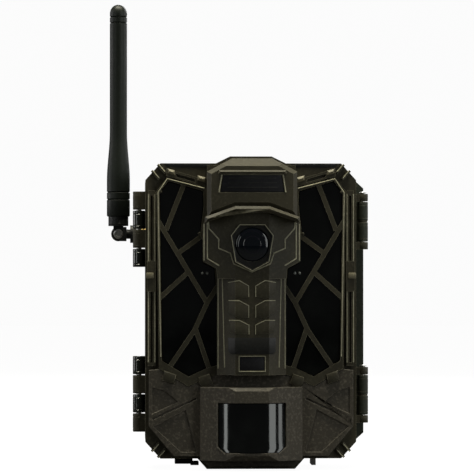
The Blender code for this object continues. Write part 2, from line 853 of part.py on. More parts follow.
def lower_panel():
    back = -COVER_DEPTH - GAP
    front = back - LOWER_PANEL
    foot = inset(casing(), 1.2)
    under = [(x, z - GAP) for x, z in bezel_edge()[WINDOW_FOOT.start : WINDOW_FOOT.stop]]
    start, end = under[0], under[-1]
    left = [(-WIDTH / 2 + PANEL_MARGIN, start[1] - 0.4), *under, (end[0], level(COLUMN_FOOT) - GAP)]
    low = [p for p in foot if p[0] < 0 and p[1] < HEIGHT / 4]
    corner = (left[0][0], low[3][1] + 6.3)
    outline_left = [low[0], low[1], (low[2][0] + 5.2, low[2][1]), corner, *left]
    outline = outline_left + mirrored(reversed(outline_left))
    panel = plate("lower_panel", "front", [outline], front, back)
    plan = faceted(21.9, LOWER_FRONT, -25.5, front + OVERLAP)
    bulge = plate("sensor_block", "top", [plan], 4.0, level(35.5))
    profile = [
        (front + OVERLAP, level(35.5)),
        (LOWER_FRONT + 1.5, level(35.5)),
        (LOWER_FRONT, level(34.0)),
        (LOWER_FRONT, 6.4),
        (LOWER_FRONT + 2.4, 4.0),
        (front + OVERLAP, 4.0),
    ]
    common(bulge, plate("sensor_block_side", "side", [profile], -40, 40))
    join(panel, bulge)
    shapes = [
        [(-42.6, 35.2), (-42.6, 23.8), (-31.4, 29.0), (-37.0, 33.6)],
        [(-42.0, 18.4), (-28.2, 25.6), (-23.4, 7.4), (-30.2, 7.4)],
        bar((-42.6, 21.6), (-23.6, 30.4), 0.8),
    ]
    grooves = [
        plate(f"field_{name}_{i}", "front", [on_side(side, face(o))], front - 1, front + GROOVE)
        for side, name in SIDES
        for i, o in enumerate(shapes)
    ]
    corner = SENSOR_FOOT + 2.6
    half = SENSOR_HALF
    recess = both_halves([(half, level(SENSOR_TOP)), (half, corner), (half - 3.1, SENSOR_FOOT)])
    cut(panel, plate("sensor_recess", "front", [recess], -50, 0), *grooves)
    finish(panel, TAUPE, COVER_HINGE)
    half -= GAP
    arc = []
    for i in range(9):
        share = (i / 4 - 1) * half
        arc.append((share, LOWER_FRONT - 0.4 + 4.2 * (share / half) ** 2))
    plan = arc + [(x, y + 1.3) for x, y in reversed(arc)]
    window = plate("sensor_window", "top", [plan], SENSOR_FOOT + GAP, level(SENSOR_TOP) - GAP)
    foot = SENSOR_FOOT + GAP
    edge = both_halves([(half, level(SENSOR_TOP)), (half, corner + 0.2), (half - 3.0, foot)])
    common(window, plate("sensor_window_edge", "front", [edge], -50, 0))
    finish(window, GLOSS, COVER_HINGE)
    can = [(0, 0), (4.0, 0), (4.6, -0.6), (4.6, -4.2), (5.4, -4.2), (5.4, -5.0), (0, -5.0)]
    height = level((SENSOR_TOP + SENSOR_FOOT) / 2)
    can = [(r, -z) for r, z in reversed(can)]
    finish(turned("motion_sensor", "y", can, (0, -24, height)), STEEL, COVER_HINGE)


def camera():
    flat = COLUMN_FRONT - GAP
    r = LENS_RADIUS
    edge = [(r - 1.7, r + 1.8), (r + 1.8, r - 2.8), (r, 0.2 - r), (0, -r - 3.6)]
    edge = [(x, LENS_Z + z) for x, z in edge]
    edge += mirrored(reversed(edge[:3]))
    hole = circle((0, LENS_Z), r - 1.0, 24)
    bezel = plate("lens_bezel", "front", [edge, hole], flat - 1.2, flat)
    finish(bezel, BLACK, COVER_HINGE)
    glass = [(0, 1.6), (LENS_RADIUS - GAP, 1.6), (LENS_RADIUS - GAP, 0.5), (4, 0.1), (0, 0)]
    finish(turned("lens_glass", "y", glass, (0, COLUMN_FRONT + 0.2, LENS_Z)), GLASS, COVER_HINGE)
    barrel = [
        (3.2, 12.0),
        (BARREL_RADIUS - 1, 12.0),
        (BARREL_RADIUS - 1, 6.0),
        (BARREL_RADIUS, 6.0),
        (BARREL_RADIUS, 0),
        (3.8, 0),
        (2.4, 2.0),
        (2.4, 11.0),
    ]
    finish(
        turned("lens_barrel", "y", barrel, (0, -30.4, LENS_Z), hollow=True), BLACK, COVER_HINGE
    )
    module_front = -18.0
    half = MODULE_HALF
    module = box(
        "camera_module",
        (-half, module_front, LENS_Z - 8),
        (half, module_front + 5.2, LENS_Z + 8),
    )
    slot = box(
        "filter_slot",
        (-half - 1, module_front + 1.0, LENS_Z - 4.6),
        (half + 1, module_front + 2.8, LENS_Z + 4.6),
    )
    sight = rod("module_sight", "y", 2.6, (0, module_front - 1, LENS_Z), 4, 16)
    finish(cut(module, slot, sight), BOARD, COVER_HINGE)
    blade = box(
        "infrared_filter",
        (-half + 1, module_front + 1.4, LENS_Z - 4.2),
        (half - 1 - FILTER_TRAVEL, module_front + 2.4, LENS_Z + 4.2),
    )
    finish(blade, GLASS, COVER_HINGE)


# Inside of the cover


def controls():
    back = -PANEL
    front = back - PANEL
    edge = inset(casing(), WALL + GAP)
    panel = plate("inner_panel", "front", [edge], front, back)
    main = box("main_board", (-33, -9.4, level(48)), (33, -7.9, level(118)))
    for i, (x, z, w, h) in enumerate(((-24, 60, 12, 12), (-6, 56, 14, 14), (14, 60, 9, 9))):
        chip = box(f"chip_{i}", (x, -10.6, level(z)), (x + w, -9.2, level(z) + h))
        join(main, chip)
    finish(main, BOARD, COVER_HINGE)
    display_low, display_high = level(84), level(112)
    screen = box("display_hole", (-22, front - 1, display_low), (16, back + 1, display_high))
    glass = box(
        "display",
        (-22 + GAP, front - 1.2, display_low + GAP),
        (16 - GAP, back - 0.2, display_high - GAP),
    )
    finish(glass, GLASS, COVER_HINGE)
    holes = [screen]
    pad_x, pad_z = -4.0, level(66)
    places = {
        "up": (0, 10),
        "down": (0, -10),
        "left": (-10, 0),
        "right": (10, 0),
        "ok": (0, 0),
    }
    for name, (x, z) in places.items():
        centre = (pad_x + x, front - 1, pad_z + z)
        holes.append(rod(f"hole_{name}", "y", BUTTON_RADIUS + GAP, centre, PANEL + 2))
        profile = [
            (0, 6.0),
            (BUTTON_RADIUS - 0.5, 6.0),
            (BUTTON_RADIUS, 5.5),
            (BUTTON_RADIUS, 2.6),
            (BUTTON_RADIUS + 1.0, 2.6),
            (BUTTON_RADIUS + 1.0, 1.8),
            (0, 1.8),
        ]
        start = (pad_x + x, front - 3.2, pad_z + z)
        button = turned(f"button_{name}", "y", profile, start, 12)
        finish(button, RUBBER, COVER_HINGE)
    switch_x, switch_z = 25.0, level(66)
    holes.append(
        box(
            "switch_hole",
            (switch_x - 2 - SWITCH_TRAVEL - GAP, front - 1, switch_z - 2 - GAP),
            (switch_x + 2 + SWITCH_TRAVEL + GAP, back + 1, switch_z + 2 + GAP),
        )
    )
    knob = box(
        "power_switch",
        (switch_x - 2, front - 0.6, switch_z - 2),
        (switch_x + 2, 0.6, switch_z + 2),
    )
    foot = box(
        "power_switch_foot",
        (switch_x - 5, front - 2.0, switch_z - 3),
        (switch_x + 5, front - GAP - 0.1, switch_z + 3),
    )
    finish(join(knob, foot), BLACK, COVER_HINGE)
    card_x, card_z = 18.0, level(20)
    holes.append(
        box(
            "card_well",
            (card_x - 3, front - 1, card_z - 1.5),
            (card_x + CARD_TRAVEL + 3, back + 1, card_z + CARD_WIDTH + 1.5),
        )
    )
    card = box(
        "memory_card",
        (card_x - CARD_LENGTH, front - GAP - 0.3 - CARD_THICKNESS, card_z),
        (card_x, front - GAP - 0.3, card_z + CARD_WIDTH),
    )
    finish(card, BLACK, COVER_HINGE)
    finish(cut(panel, *holes), BLACK, COVER_HINGE)


# Latches, hinge pins and port plug


def latches():
    for name, top in LATCH_TOPS.items():
        high = top - EAR - GAP
        low = high - LEVER_LENGTH
        axis = (LATCH_X, LATCH_AXIS_DEPTH, low)
        place = pivot(f"latch_{name}_pivot", axis, COVER_HINGE)
        lever = rod(f"latch_lever_{name}", "z", LATCH_RADIUS, axis, LEVER_LENGTH)
        outer = LATCH_X + LATCH_RADIUS
        inner = outer - BLADE
        reach = LATCH_AXIS_DEPTH + LEVER_REACH
        hook = WIDTH / 2 + LATCH_FLANK - HOOK + GAP
        outline = [
            (outer, LATCH_AXIS_DEPTH),
            (outer, reach + 3),
            (outer - 0.7, reach + 4.4),
            (inner, reach + 4.4),
            (inner, reach),
            (hook, reach),
            (hook, reach - 1.5),
            (inner, reach - 1.5),
            (inner, LATCH_AXIS_DEPTH),
        ]
        join(lever, plate(f"latch_blade_{name}", "top", [outline], low, high))
        bore = rod(
            f"latch_bore_{name}",
            "z",
            LATCH_PIN_RADIUS + GAP,
            (*axis[:2], low - 1),
            LEVER_LENGTH + 2,
            12,
        )
        wide, deep = LATCH_RADIUS + 1, LATCH_RADIUS - 0.3
        groove = turned(
            f"latch_groove_{name}",
            "z",
            [(wide, 0.5), (wide, -0.5), (deep, -0.3), (deep, 0.3)],
            (*axis[:2], (low + high) / 2),
            hollow=True,
        )
        cut(lever, bore, groove)
        finish(lever, OLIVE, place)
        profile = [
            (0, top + 1.0),
            (LATCH_PIN_RADIUS + 0.7, top + 0.8),
            (LATCH_PIN_RADIUS + 0.7, top + GAP),
            (LATCH_PIN_RADIUS, top + GAP),
            (LATCH_PIN_RADIUS, top - 2 * EAR - LEVER_LENGTH),
            (0, top - 2 * EAR - LEVER_LENGTH),
        ]
        pin = turned(f"latch_pin_{name}", "z", profile, (*axis[:2], 0), 12)
        finish(pin, STEEL, COVER_HINGE)
    for name, top in (("upper", HEIGHT - UPPER_HINGE_DROP), ("lower", LOWER_HINGE_TOP)):
        foot = top - 3 * KNUCKLE_PITCH - KNUCKLE
        pin = rod(f"hinge_pin_{name}", "z", HINGE_PIN_RADIUS, (HINGE_X, 0, foot), top - foot, 12)
        finish(pin, STEEL)


def port_plug():
    place = pivot("port_plug_slide", PORT)
    flange = box("port_plug", PORT + Vector((-3.9, -3.8, -3.6)), PORT + Vector((3.9, 3.8, -GAP)))
    top = PORT + Vector((2.7, 2.4, WALL - 0.2))
    stem = box("port_plug_stem", PORT + Vector((-2.7, -2.4, -1)), top)
    tab = box("port_plug_tab", PORT + Vector((3.0, -3.8, -4.2)), PORT + Vector((6.6, 3.8, -2.6)))
    finish(join(flange, stem, tab), RUBBER, place)


# Antenna


def antenna():
    x, y, z = SWIVEL
    swivel = pivot("antenna_swivel", SWIVEL)
    tilt = pivot("antenna_tilt", SWIVEL, swivel)
    wall = -WIDTH / 2
    nut_low = x + 5.2
    profile = [
        (1.2, wall + WALL + 5),
        (JACK_RADIUS, wall + WALL + 5),
        (JACK_RADIUS, wall - GAP),
        (JACK_RADIUS + 1.4, wall - GAP),
        (JACK_RADIUS + 1.4, wall - GAP - 1.0),
        (JACK_RADIUS - GAP, wall - GAP - 1.0),
        (JACK_RADIUS - GAP, nut_low + 2.2),
        (1.2, nut_low + 2.2),
    ]
    finish(turned("antenna_jack", "x", profile, (0, y, z), hollow=True), BRASS)
    nut = [
        (JACK_RADIUS + GAP, nut_low + NUT_WIDTH),
        (NUT_RADIUS, nut_low + NUT_WIDTH),
        (NUT_RADIUS, nut_low),
        (ELBOW_STEM_RADIUS + GAP, nut_low),
        (ELBOW_STEM_RADIUS + GAP, nut_low + 1.6),
        (JACK_RADIUS + GAP, nut_low + 1.6),
    ]
    finish(turned("antenna_nut", "x", nut, (0, y, z), hollow=True), BLACK, swivel)
    elbow = rod("antenna_elbow", "y", ELBOW_RADIUS, (x, y - 3.6, z), 7.2)
    block = box("elbow_block", (x + 0.6, y - 3.4, z - 3.1), (x + 3.6, y + 3.4, z + 3.1))
    stem = rod("elbow_stem", "x", ELBOW_STEM_RADIUS, (x + 3, y, z), 3.6)
    join(elbow, block, stem)
    half = TONGUE_THICKNESS / 2 + GAP
    slot = box("elbow_slot", (x - 5, y - half, z - 5), (x + 2.9, y + half, z + 5))
    hole = rod("elbow_bore", "y", 0.9 + GAP, (x, y - 5, z), 10, 12)
    finish(cut(elbow, slot, hole), BLACK, swivel)
    pin = rod("antenna_pivot_pin", "y", 0.9, (x, y - 3.4, z), 6.8, 12)
    finish(pin, STEEL, swivel)
    base_foot = z + ELBOW_RADIUS + 0.35
    base_top = base_foot + 3.8
    collar = turned(
        "antenna_base",
        "z",
        [
            (0, base_top + 5),
            (2.0, base_top + 5),
            (2.0, base_top),
            (WHIP_COLLAR_RADIUS, base_top),
            (WHIP_COLLAR_RADIUS, base_foot),
            (0, base_foot),
        ],
        (x, y, 0),
    )
    tongue = rod("antenna_tongue", "y", 2.5, (x, y - TONGUE_THICKNESS / 2, z), TONGUE_THICKNESS)
    neck = box(
        "antenna_neck",
        (x - 2.2, y - TONGUE_THICKNESS / 2, z),
        (x + 2.2, y + TONGUE_THICKNESS / 2, base_foot + OVERLAP),
    )
    join(collar, tongue, neck)
    cut(collar, rod("tongue_bore", "y", 0.9 + GAP, (x, y - 4, z), 8, 12))
    finish(collar, BLACK, tilt)
    foot = base_top + GAP
    tip = foot + WHIP_LENGTH
    shoulder, waist = foot + 16.0, foot + 37.3
    groove = 0.35
    dome = ((0, 0), (1.6, 0.25), (2.8, 1.1), (3.5, 2.3), (WHIP_TIP_RADIUS, 4))
    profile = [(r, tip - drop) for r, drop in dome]
    for height in (5.2, 7.8):
        profile += [
            (WHIP_TIP_RADIUS, tip - height),
            (WHIP_TIP_RADIUS - groove, tip - height - 0.3),
            (WHIP_TIP_RADIUS, tip - height - 0.6),
        ]
    profile += [(WHIP_TIP_RADIUS, waist), (WHIP_RADIUS, shoulder)]
    for height in (10.8, 7.6):
        profile += [
            (WHIP_RADIUS, foot + height + 0.3),
            (WHIP_RADIUS - groove, foot + height),
            (WHIP_RADIUS, foot + height - 0.3),
        ]
    socket = ((2.3, 0), (2.3, 6), (0, 6))
    profile += [(WHIP_RADIUS, foot + 0.5), (WHIP_RADIUS - 0.5, foot)]
    profile += [(r, foot + z) for r, z in socket]
    finish(turned("antenna_whip", "z", profile, (x, y, 0)), RUBBER, tilt)


rear_housing()
battery_pack()
housing_insides()
strap_bridge()
front_cover()
windows()
face_column()
lower_panel()
camera()
controls()
latches()
port_plug()
antenna()
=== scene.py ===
"""The looks of a trail camera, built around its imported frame.

The frame's solids keep their shapes, and get rounded edges and moulded surfaces here. Round
pieces are turned again with more sides, and the relief of the face, the labels, threads and
recesses are added on them. Lengths are in millimetres, and the helpers turn them into metres.
"""

import json
from math import cos, pi, radians, sin, sqrt

import bmesh
import bpy
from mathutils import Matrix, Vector


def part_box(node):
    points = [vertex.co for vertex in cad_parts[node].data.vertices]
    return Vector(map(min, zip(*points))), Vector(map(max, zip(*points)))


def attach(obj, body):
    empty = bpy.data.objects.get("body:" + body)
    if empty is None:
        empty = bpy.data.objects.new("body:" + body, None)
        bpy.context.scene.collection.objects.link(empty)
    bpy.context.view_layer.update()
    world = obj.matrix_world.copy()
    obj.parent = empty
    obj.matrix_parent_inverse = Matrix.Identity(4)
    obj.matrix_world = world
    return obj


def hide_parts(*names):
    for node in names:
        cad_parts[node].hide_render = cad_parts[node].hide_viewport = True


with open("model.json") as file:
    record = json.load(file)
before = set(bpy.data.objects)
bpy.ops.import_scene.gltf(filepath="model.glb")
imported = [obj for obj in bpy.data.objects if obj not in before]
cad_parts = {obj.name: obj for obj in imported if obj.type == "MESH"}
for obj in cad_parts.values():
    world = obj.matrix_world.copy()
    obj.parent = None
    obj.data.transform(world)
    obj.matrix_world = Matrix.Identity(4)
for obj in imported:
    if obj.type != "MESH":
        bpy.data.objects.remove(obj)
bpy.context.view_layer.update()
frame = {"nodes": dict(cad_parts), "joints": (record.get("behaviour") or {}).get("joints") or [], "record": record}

MM = 0.001
SIDES = ((-1, "left"), (1, "right"))


def corners(node):
    """A node's lowest and highest corners, in millimetres."""
    low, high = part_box(node)
    return low / MM, high / MM


# Places taken from the frame

COVER_FRONT = corners("window_bezel_left")[1].y + 0.3
BEZEL_FRONT = corners("window_bezel_left")[0].y
PANE_FRONT = corners("infrared_window_left")[0].y
COLUMN_FRONT = corners("lens_bezel")[1].y + 0.3
HOOD_LIP = corners("face_column")[0].y
HOOD_FACE = HOOD_LIP + 2.2
LOWER_FRONT = corners("sensor_window")[0].y + 0.4
HOUSING_BACK = corners("rear_housing")[1].y
LENS_Z = (corners("lens_glass")[0].z + corners("lens_glass")[1].z) / 2
FACET_HALF = 7.3  # half the width of the column's flat front
BLOCK_HALF, BLOCK_DROP = 20.9, 5.0  # the lens block's slanted sides
LOWER_HALF, LOWER_DROP = 14.8, 7.0  # those of the column below it
SENSOR_BLOCK_HALF, SENSOR_BLOCK_DROP = 21.9, 8.5  # those of the sensor block
CASING_FOOT, CASING_TOP = 4.5, 131.8  # the casing's edge between its corners
KNUCKLE, KNUCKLE_PITCH = 7.9, 8.35
CAMERA_DISTANCE = 1.3  # metres
GLASS_RADIUS = 7.3
WINDOW_BOW = 4.2  # how far the sensor window's ends lie behind its middle
WINDOW_LEAN = 0.055  # how far it leans back for each millimetre up
GLASS_LIFT = Vector((0, 0.5))  # the glass sits a little above the bezel's middle
JOINT_PLACE = {j["name"]: Vector(j.get("pos_m", (0, 0, 0))) / MM for j in frame["joints"]}


# Materials


def shader_of(name):
    made = bpy.data.materials.new(name)
    made.use_nodes = True
    nodes = made.node_tree.nodes
    return made, nodes, made.node_tree.links, nodes["Principled BSDF"]


def noise(nodes, links, place, scale, detail=3.0):
    made = nodes.new("ShaderNodeTexNoise")
    made.inputs["Scale"].default_value = scale
    made.inputs["Detail"].default_value = detail
    links.new(place, made.inputs["Vector"])
    return made.outputs["Fac"]


def mixed(nodes, links, share, low, high):
    """A colour between two, by a share that a node gives."""
    made = nodes.new("ShaderNodeMix")
    made.data_type = "RGBA"
    for socket, value in zip((made.inputs["A"], made.inputs["B"]), (low, high)):
        if isinstance(value, tuple):
            socket.default_value = (*value, 1)
        else:
            links.new(value, socket)
    links.new(share, made.inputs["Factor"])
    return made.outputs["Result"]


def mapped(nodes, links, value, from_low, from_high, to_low, to_high):
    made = nodes.new("ShaderNodeMapRange")
    for name, number in (
        ("From Min", from_low),
        ("From Max", from_high),
        ("To Min", to_low),
        ("To Max", to_high),
    ):
        made.inputs[name].default_value = number
    links.new(value, made.inputs["Value"])
    return made.outputs["Result"]


def edge_share(nodes, links, radius):
    """One along sharp edges and nothing on flat faces."""
    rounded = nodes.new("ShaderNodeBevel")
    rounded.samples = 4
    rounded.inputs["Radius"].default_value = radius * MM
    true = nodes.new("ShaderNodeNewGeometry")
    dot = nodes.new("ShaderNodeVectorMath")
    dot.operation = "DOT_PRODUCT"
    links.new(rounded.outputs["Normal"], dot.inputs[0])
    links.new(true.outputs["Normal"], dot.inputs[1])
    return mapped(nodes, links, dot.outputs["Value"], 0.985, 0.8, 0.0, 1.0)


def moulded(
    name,
    colour,
    roughness,
    grain=1800,
    depth=0.3,
    pale_edge_highlight=None,
    mottle=0.35,
    coat=0.0,
    shine=0.28,
    speckle=0.4,
):
    """Moulded plastic or rubber: grain, slow colour drift, dust in patches, and paler edges that are a painted
    highlight.
    """
    made, nodes, links, shader = shader_of(name)
    place = nodes.new("ShaderNodeTexCoord").outputs["Object"]
    drift = noise(nodes, links, place, 28)
    pale = tuple(c * (1 + mottle) for c in colour)
    dark = tuple(c * (1 - mottle) for c in colour)
    base = mixed(nodes, links, mapped(nodes, links, drift, 0.3, 0.7, 0, 1), dark, pale)
    speck = noise(nodes, links, place, 900, 2)
    lighter = tuple(min(1, c * 2.2 + 0.006) for c in colour)
    base = mixed(nodes, links, mapped(nodes, links, speck, 0.5, 0.75, 0, speckle), base, lighter)
    # Paler edges: a painted highlight along sharp edges, broken into patches by noise.
    if pale_edge_highlight:
        highlight_share = nodes.new("ShaderNodeMath")
        highlight_share.operation = "MULTIPLY"
        links.new(edge_share(nodes, links, 0.35), highlight_share.inputs[0])
        patchy = noise(nodes, links, place, 160)
        links.new(mapped(nodes, links, patchy, 0.3, 0.65, 0.25, 0.85), highlight_share.inputs[1])
        base = mixed(nodes, links, highlight_share.outputs["Value"], base, pale_edge_highlight)
    links.new(base, shader.inputs["Base Color"])
    grainy = noise(nodes, links, place, grain, 2)
    gloss = mapped(nodes, links, drift, 0.3, 0.7, roughness * 0.85, roughness * 1.12)
    links.new(gloss, shader.inputs["Roughness"])
    bump = nodes.new("ShaderNodeBump")
    bump.inputs["Strength"].default_value = depth
    bump.inputs["Distance"].default_value = 0.0001
    links.new(grainy, bump.inputs["Height"])
    links.new(bump.outputs["Normal"], shader.inputs["Normal"])
    shader.inputs["Specular IOR Level"].default_value = shine
    shader.inputs["Coat Weight"].default_value = coat
    shader.inputs["Coat Roughness"].default_value = 0.12
    return made


def metal(name, colour, roughness, scale=(300, 300, 4000)):
    """Metal with fine tool marks and a slight stain."""
    made, nodes, links, shader = shader_of(name)
    place = nodes.new("ShaderNodeTexCoord").outputs["Object"]
    stretch = nodes.new("ShaderNodeMapping")
    stretch.inputs["Scale"].default_value = scale
    links.new(place, stretch.inputs["Vector"])
    marks = noise(nodes, links, stretch.outputs["Vector"], 1, 4)
    stain = noise(nodes, links, place, 120)
    dull = tuple(c * 0.72 for c in colour)
    links.new(mixed(nodes, links, stain, dull, colour), shader.inputs["Base Color"])
    gloss = mapped(nodes, links, marks, 0.3, 0.7, roughness * 0.7, roughness * 1.4)
    links.new(gloss, shader.inputs["Roughness"])
    bump = nodes.new("ShaderNodeBump")
    bump.inputs["Strength"].default_value = 0.12
    bump.inputs["Distance"].default_value = 0.00005
    links.new(marks, bump.inputs["Height"])
    links.new(bump.outputs["Normal"], shader.inputs["Normal"])
    shader.inputs["Metallic"].default_value = 1.0
    return made


def polished(name, colour, roughness, haze=0.04):
    """A polished face with faint ripples and finger haze."""
    made, nodes, links, shader = shader_of(name)
    place = nodes.new("ShaderNodeTexCoord").outputs["Object"]
    ripple = noise(nodes, links, place, 45, 1)
    smear = noise(nodes, links, place, 110, 4)
    pale = tuple(c * 1.8 + 0.0005 for c in colour)
    share = mapped(nodes, links, smear, 0.45, 0.75, 0, 1)
    links.new(mixed(nodes, links, share, colour, pale), shader.inputs["Base Color"])
    gloss = mapped(nodes, links, smear, 0.4, 0.75, roughness, roughness + haze)
    links.new(gloss, shader.inputs["Roughness"])
    bump = nodes.new("ShaderNodeBump")
    bump.inputs["Strength"].default_value = 0.05
    bump.inputs["Distance"].default_value = 0.0004
    links.new(ripple, bump.inputs["Height"])
    links.new(bump.outputs["Normal"], shader.inputs["Normal"])
    return made


def board(name):
    """Green solder mask over copper tracks."""
    made, nodes, links, shader = shader_of(name)
    place = nodes.new("ShaderNodeTexCoord").outputs["Object"]
    tracks = nodes.new("ShaderNodeTexBrick")
    tracks.inputs["Scale"].default_value = 260
    tracks.inputs["Mortar Size"].default_value = 0.05
    for socket, colour in (
        ("Color1", (0.008, 0.075, 0.03, 1)),
        ("Color2", (0.012, 0.1, 0.04, 1)),
        ("Mortar", (0.03, 0.17, 0.06, 1)),
    ):
        tracks.inputs[socket].default_value = colour
    turn = nodes.new("ShaderNodeMapping")
    turn.inputs["Rotation"].default_value = (pi / 2, 0, 0)
    links.new(place, turn.inputs["Vector"])
    links.new(turn.outputs["Vector"], tracks.inputs["Vector"])
    links.new(tracks.outputs["Color"], shader.inputs["Base Color"])
    uneven = noise(nodes, links, place, 300)
    links.new(mapped(nodes, links, uneven, 0.3, 0.7, 0.28, 0.45), shader.inputs["Roughness"])
    bump = nodes.new("ShaderNodeBump")
    bump.inputs["Strength"].default_value = 0.2
    bump.inputs["Distance"].default_value = 0.0001
    links.new(tracks.outputs["Fac"], bump.inputs["Height"])
    links.new(bump.outputs["Normal"], shader.inputs["Normal"])
    return made


OLIVE = moulded("olive", (0.034, 0.030, 0.018), 0.6, pale_edge_highlight=(0.30, 0.28, 0.20))
# Pale beads along edges: a painted highlight, the light that rounded edges catch.
EDGE_HIGHLIGHT = moulded("painted_edge_highlight", (0.30, 0.285, 0.20), 0.5, mottle=0.25)
# Painted shade: the housing's darker, greener tone is taken from its flank in shadow.
HOUSING = moulded("housing_olive", (0.024, 0.028, 0.019), 0.6, pale_edge_highlight=(0.2, 0.2, 0.15))
TAUPE = moulded("taupe", (0.054, 0.047, 0.036), 0.6, 1100, 0.7, (0.26, 0.24, 0.2), 0.2, speckle=0.9)
# Pale tabs and bumps: painted highlight, as if lit from above.
PAINTED_LIT_TAB = moulded("painted_lit_tab", (0.15, 0.135, 0.09), 0.5, mottle=0.3)
WELL = moulded("well_black", (0.010, 0.010, 0.009), 0.5, 2200, 0.2)
BLACK = moulded("black", (0.012, 0.012, 0.012), 0.45, 2200, 0.2, (0.05, 0.05, 0.048))
KNUCKLE_BLACK = moulded("knuckle_black", (0.006, 0.008, 0.006), 0.2, 2600, 0.1, coat=0.6, shine=0.5)
RUBBER = moulded("rubber", (0.006, 0.0085, 0.006), 0.5, 2400, 0.25, mottle=0.25)
SEAL = moulded("seal", (0.02, 0.02, 0.021), 0.75, 1500, 0.3)
PLATE = moulded("plate", (0.007, 0.007, 0.009), 0.5, 2600, 0.15)
GLOSS = polished("gloss_black", (0.0025, 0.003, 0.0028), 0.06)
GLASS = polished("lens_glass", (0.004, 0.006, 0.009), 0.02, 0.02)
SCREEN = polished("screen", (0.012, 0.014, 0.016), 0.08)
COATING = polished("coating", (0.006, 0.005, 0.012), 0.04)
EMITTER = polished("emitter", (0.2, 0.21, 0.2), 0.1)
STEEL = metal("steel", (0.58, 0.57, 0.55), 0.3)
BRASS = metal("brass", (0.66, 0.45, 0.18), 0.28)
GOLD = metal("gold", (0.8, 0.58, 0.22), 0.2)
BOARD = board("board")
SLEEVE = metal("cell_sleeve", (0.32, 0.33, 0.35), 0.3)
BAND = moulded("cell_band", (0.03, 0.05, 0.08), 0.3, 2600, 0.05, coat=0.6)


# Pieces


def settle(made, body, material, sharp=35):
    """Shades a piece, gives it its material and slot, and hangs it on its body."""
    made.data.materials.clear()
    made.data.materials.append(material)
    if made.type == "MESH":
        made.data.shade_smooth()
        made.data.set_sharp_from_angle(angle=radians(sharp))
    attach(made, body)
    return made


def made_of(name, form):
    bmesh.ops.recalc_face_normals(form, faces=form.faces)
    mesh = bpy.data.meshes.new(name)
    form.to_mesh(mesh)
    form.free()
    made = bpy.data.objects.new(name, mesh)
    bpy.context.scene.collection.objects.link(made)
    return made


def prism(name, outline, front, back, round_by=0.25, segments=2):
    """A flat piece seen from the front, between two depths, with its front edges rounded."""
    form = bmesh.new()
    low = [form.verts.new(Vector((x, back, z)) * MM) for x, z in outline]
    high = [form.verts.new(Vector((x, front, z)) * MM) for x, z in outline]
    form.faces.new(low)
    cap = form.faces.new(high)
    for i in range(len(outline)):
        j = (i + 1) % len(outline)
        form.faces.new((low[i], low[j], high[j], high[i]))
    bmesh.ops.recalc_face_normals(form, faces=form.faces)
    if round_by:
        bmesh.ops.bevel(
            form,
            geom=list(cap.edges),
            offset=round_by * MM,
            segments=segments,
            profile=0.5,
            affect="EDGES",
        )
    return made_of(name, form)


def block(name, low, high, round_by=0.2, segments=2):
    """A box with all its edges rounded."""
    form = bmesh.new()
    bmesh.ops.create_cube(form, size=1)
    low, high = Vector(low), Vector(high)
    bmesh.ops.scale(form, vec=(high - low) * MM, verts=form.verts)
    bmesh.ops.translate(form, vec=(low + high) / 2 * MM, verts=form.verts)
    bmesh.ops.bevel(
        form,
        geom=list(form.edges),
        offset=round_by * MM,
        segments=segments,
        profile=0.5,
        affect="EDGES",
    )
    return made_of(name, form)


def depth_at(x, half, drop, front=COLUMN_FRONT):
    """How deep a faceted front lies at x."""
    return front + drop * max(0, (abs(x) - FACET_HALF) / (half - FACET_HALF))


def draped(name, outline, half, drop, thickness, round_by=0.2):
    """A slab that follows the column's faceted front."""
    form = bmesh.new()
    form.faces.new([form.verts.new(Vector((x, 0, z)) * MM) for x, z in outline])
    for x in (-FACET_HALF, FACET_HALF):
        bmesh.ops.bisect_plane(
            form,
            geom=form.verts[:] + form.edges[:] + form.faces[:],
            plane_co=Vector((x, 0, 0)) * MM,
            plane_no=(1, 0, 0),
        )
    rim = bmesh.ops.extrude_face_region(form, geom=form.faces[:])
    raised = [v for v in rim["geom"] if isinstance(v, bmesh.types.BMVert)]
    for vert in form.verts:
        vert.co.y = depth_at(vert.co.x / MM, half, drop) * MM + 0.3 * MM
    for vert in raised:
        vert.co.y -= (thickness + 0.3) * MM
    bmesh.ops.recalc_face_normals(form, faces=form.faces)
    top = set(raised)
    edges = [
        e
        for e in form.edges
        if all(v in top for v in e.verts) and any(not set(f.verts) <= top for f in e.link_faces)
    ]
    bmesh.ops.bevel(
        form, geom=edges, offset=round_by * MM, segments=2, profile=0.5, affect="EDGES"
    )
    return made_of(name, form)


def turned(name, axis, profile, start, steps=48, lobes=0, lobe_depth=0.0):
    """A turned piece from (radius, place along the axis) points, with grip lobes if asked."""
    form = bmesh.new()
    rings = []
    for radius, along in profile:
        ring = []
        for i in range(steps):
            angle = 2 * pi * i / steps
            grip = lobe_depth * (i * lobes * 2 // steps % 2) if lobes and radius > 0.1 else 0
            u, v = (radius - grip) * cos(angle), (radius - grip) * sin(angle)
            point = {"x": (along, u, v), "y": (v, along, u), "z": (u, v, along)}[axis]
            ring.append(form.verts.new((Vector(point) + Vector(start)) * MM))
        rings.append(ring)
    for low, high in zip(rings, rings[1:]):
        for i in range(steps):
            j = (i + 1) % steps
            form.faces.new((low[i], low[j], high[j], high[i]))
    bmesh.ops.remove_doubles(form, verts=form.verts, dist=1e-6)
    return made_of(name, form)


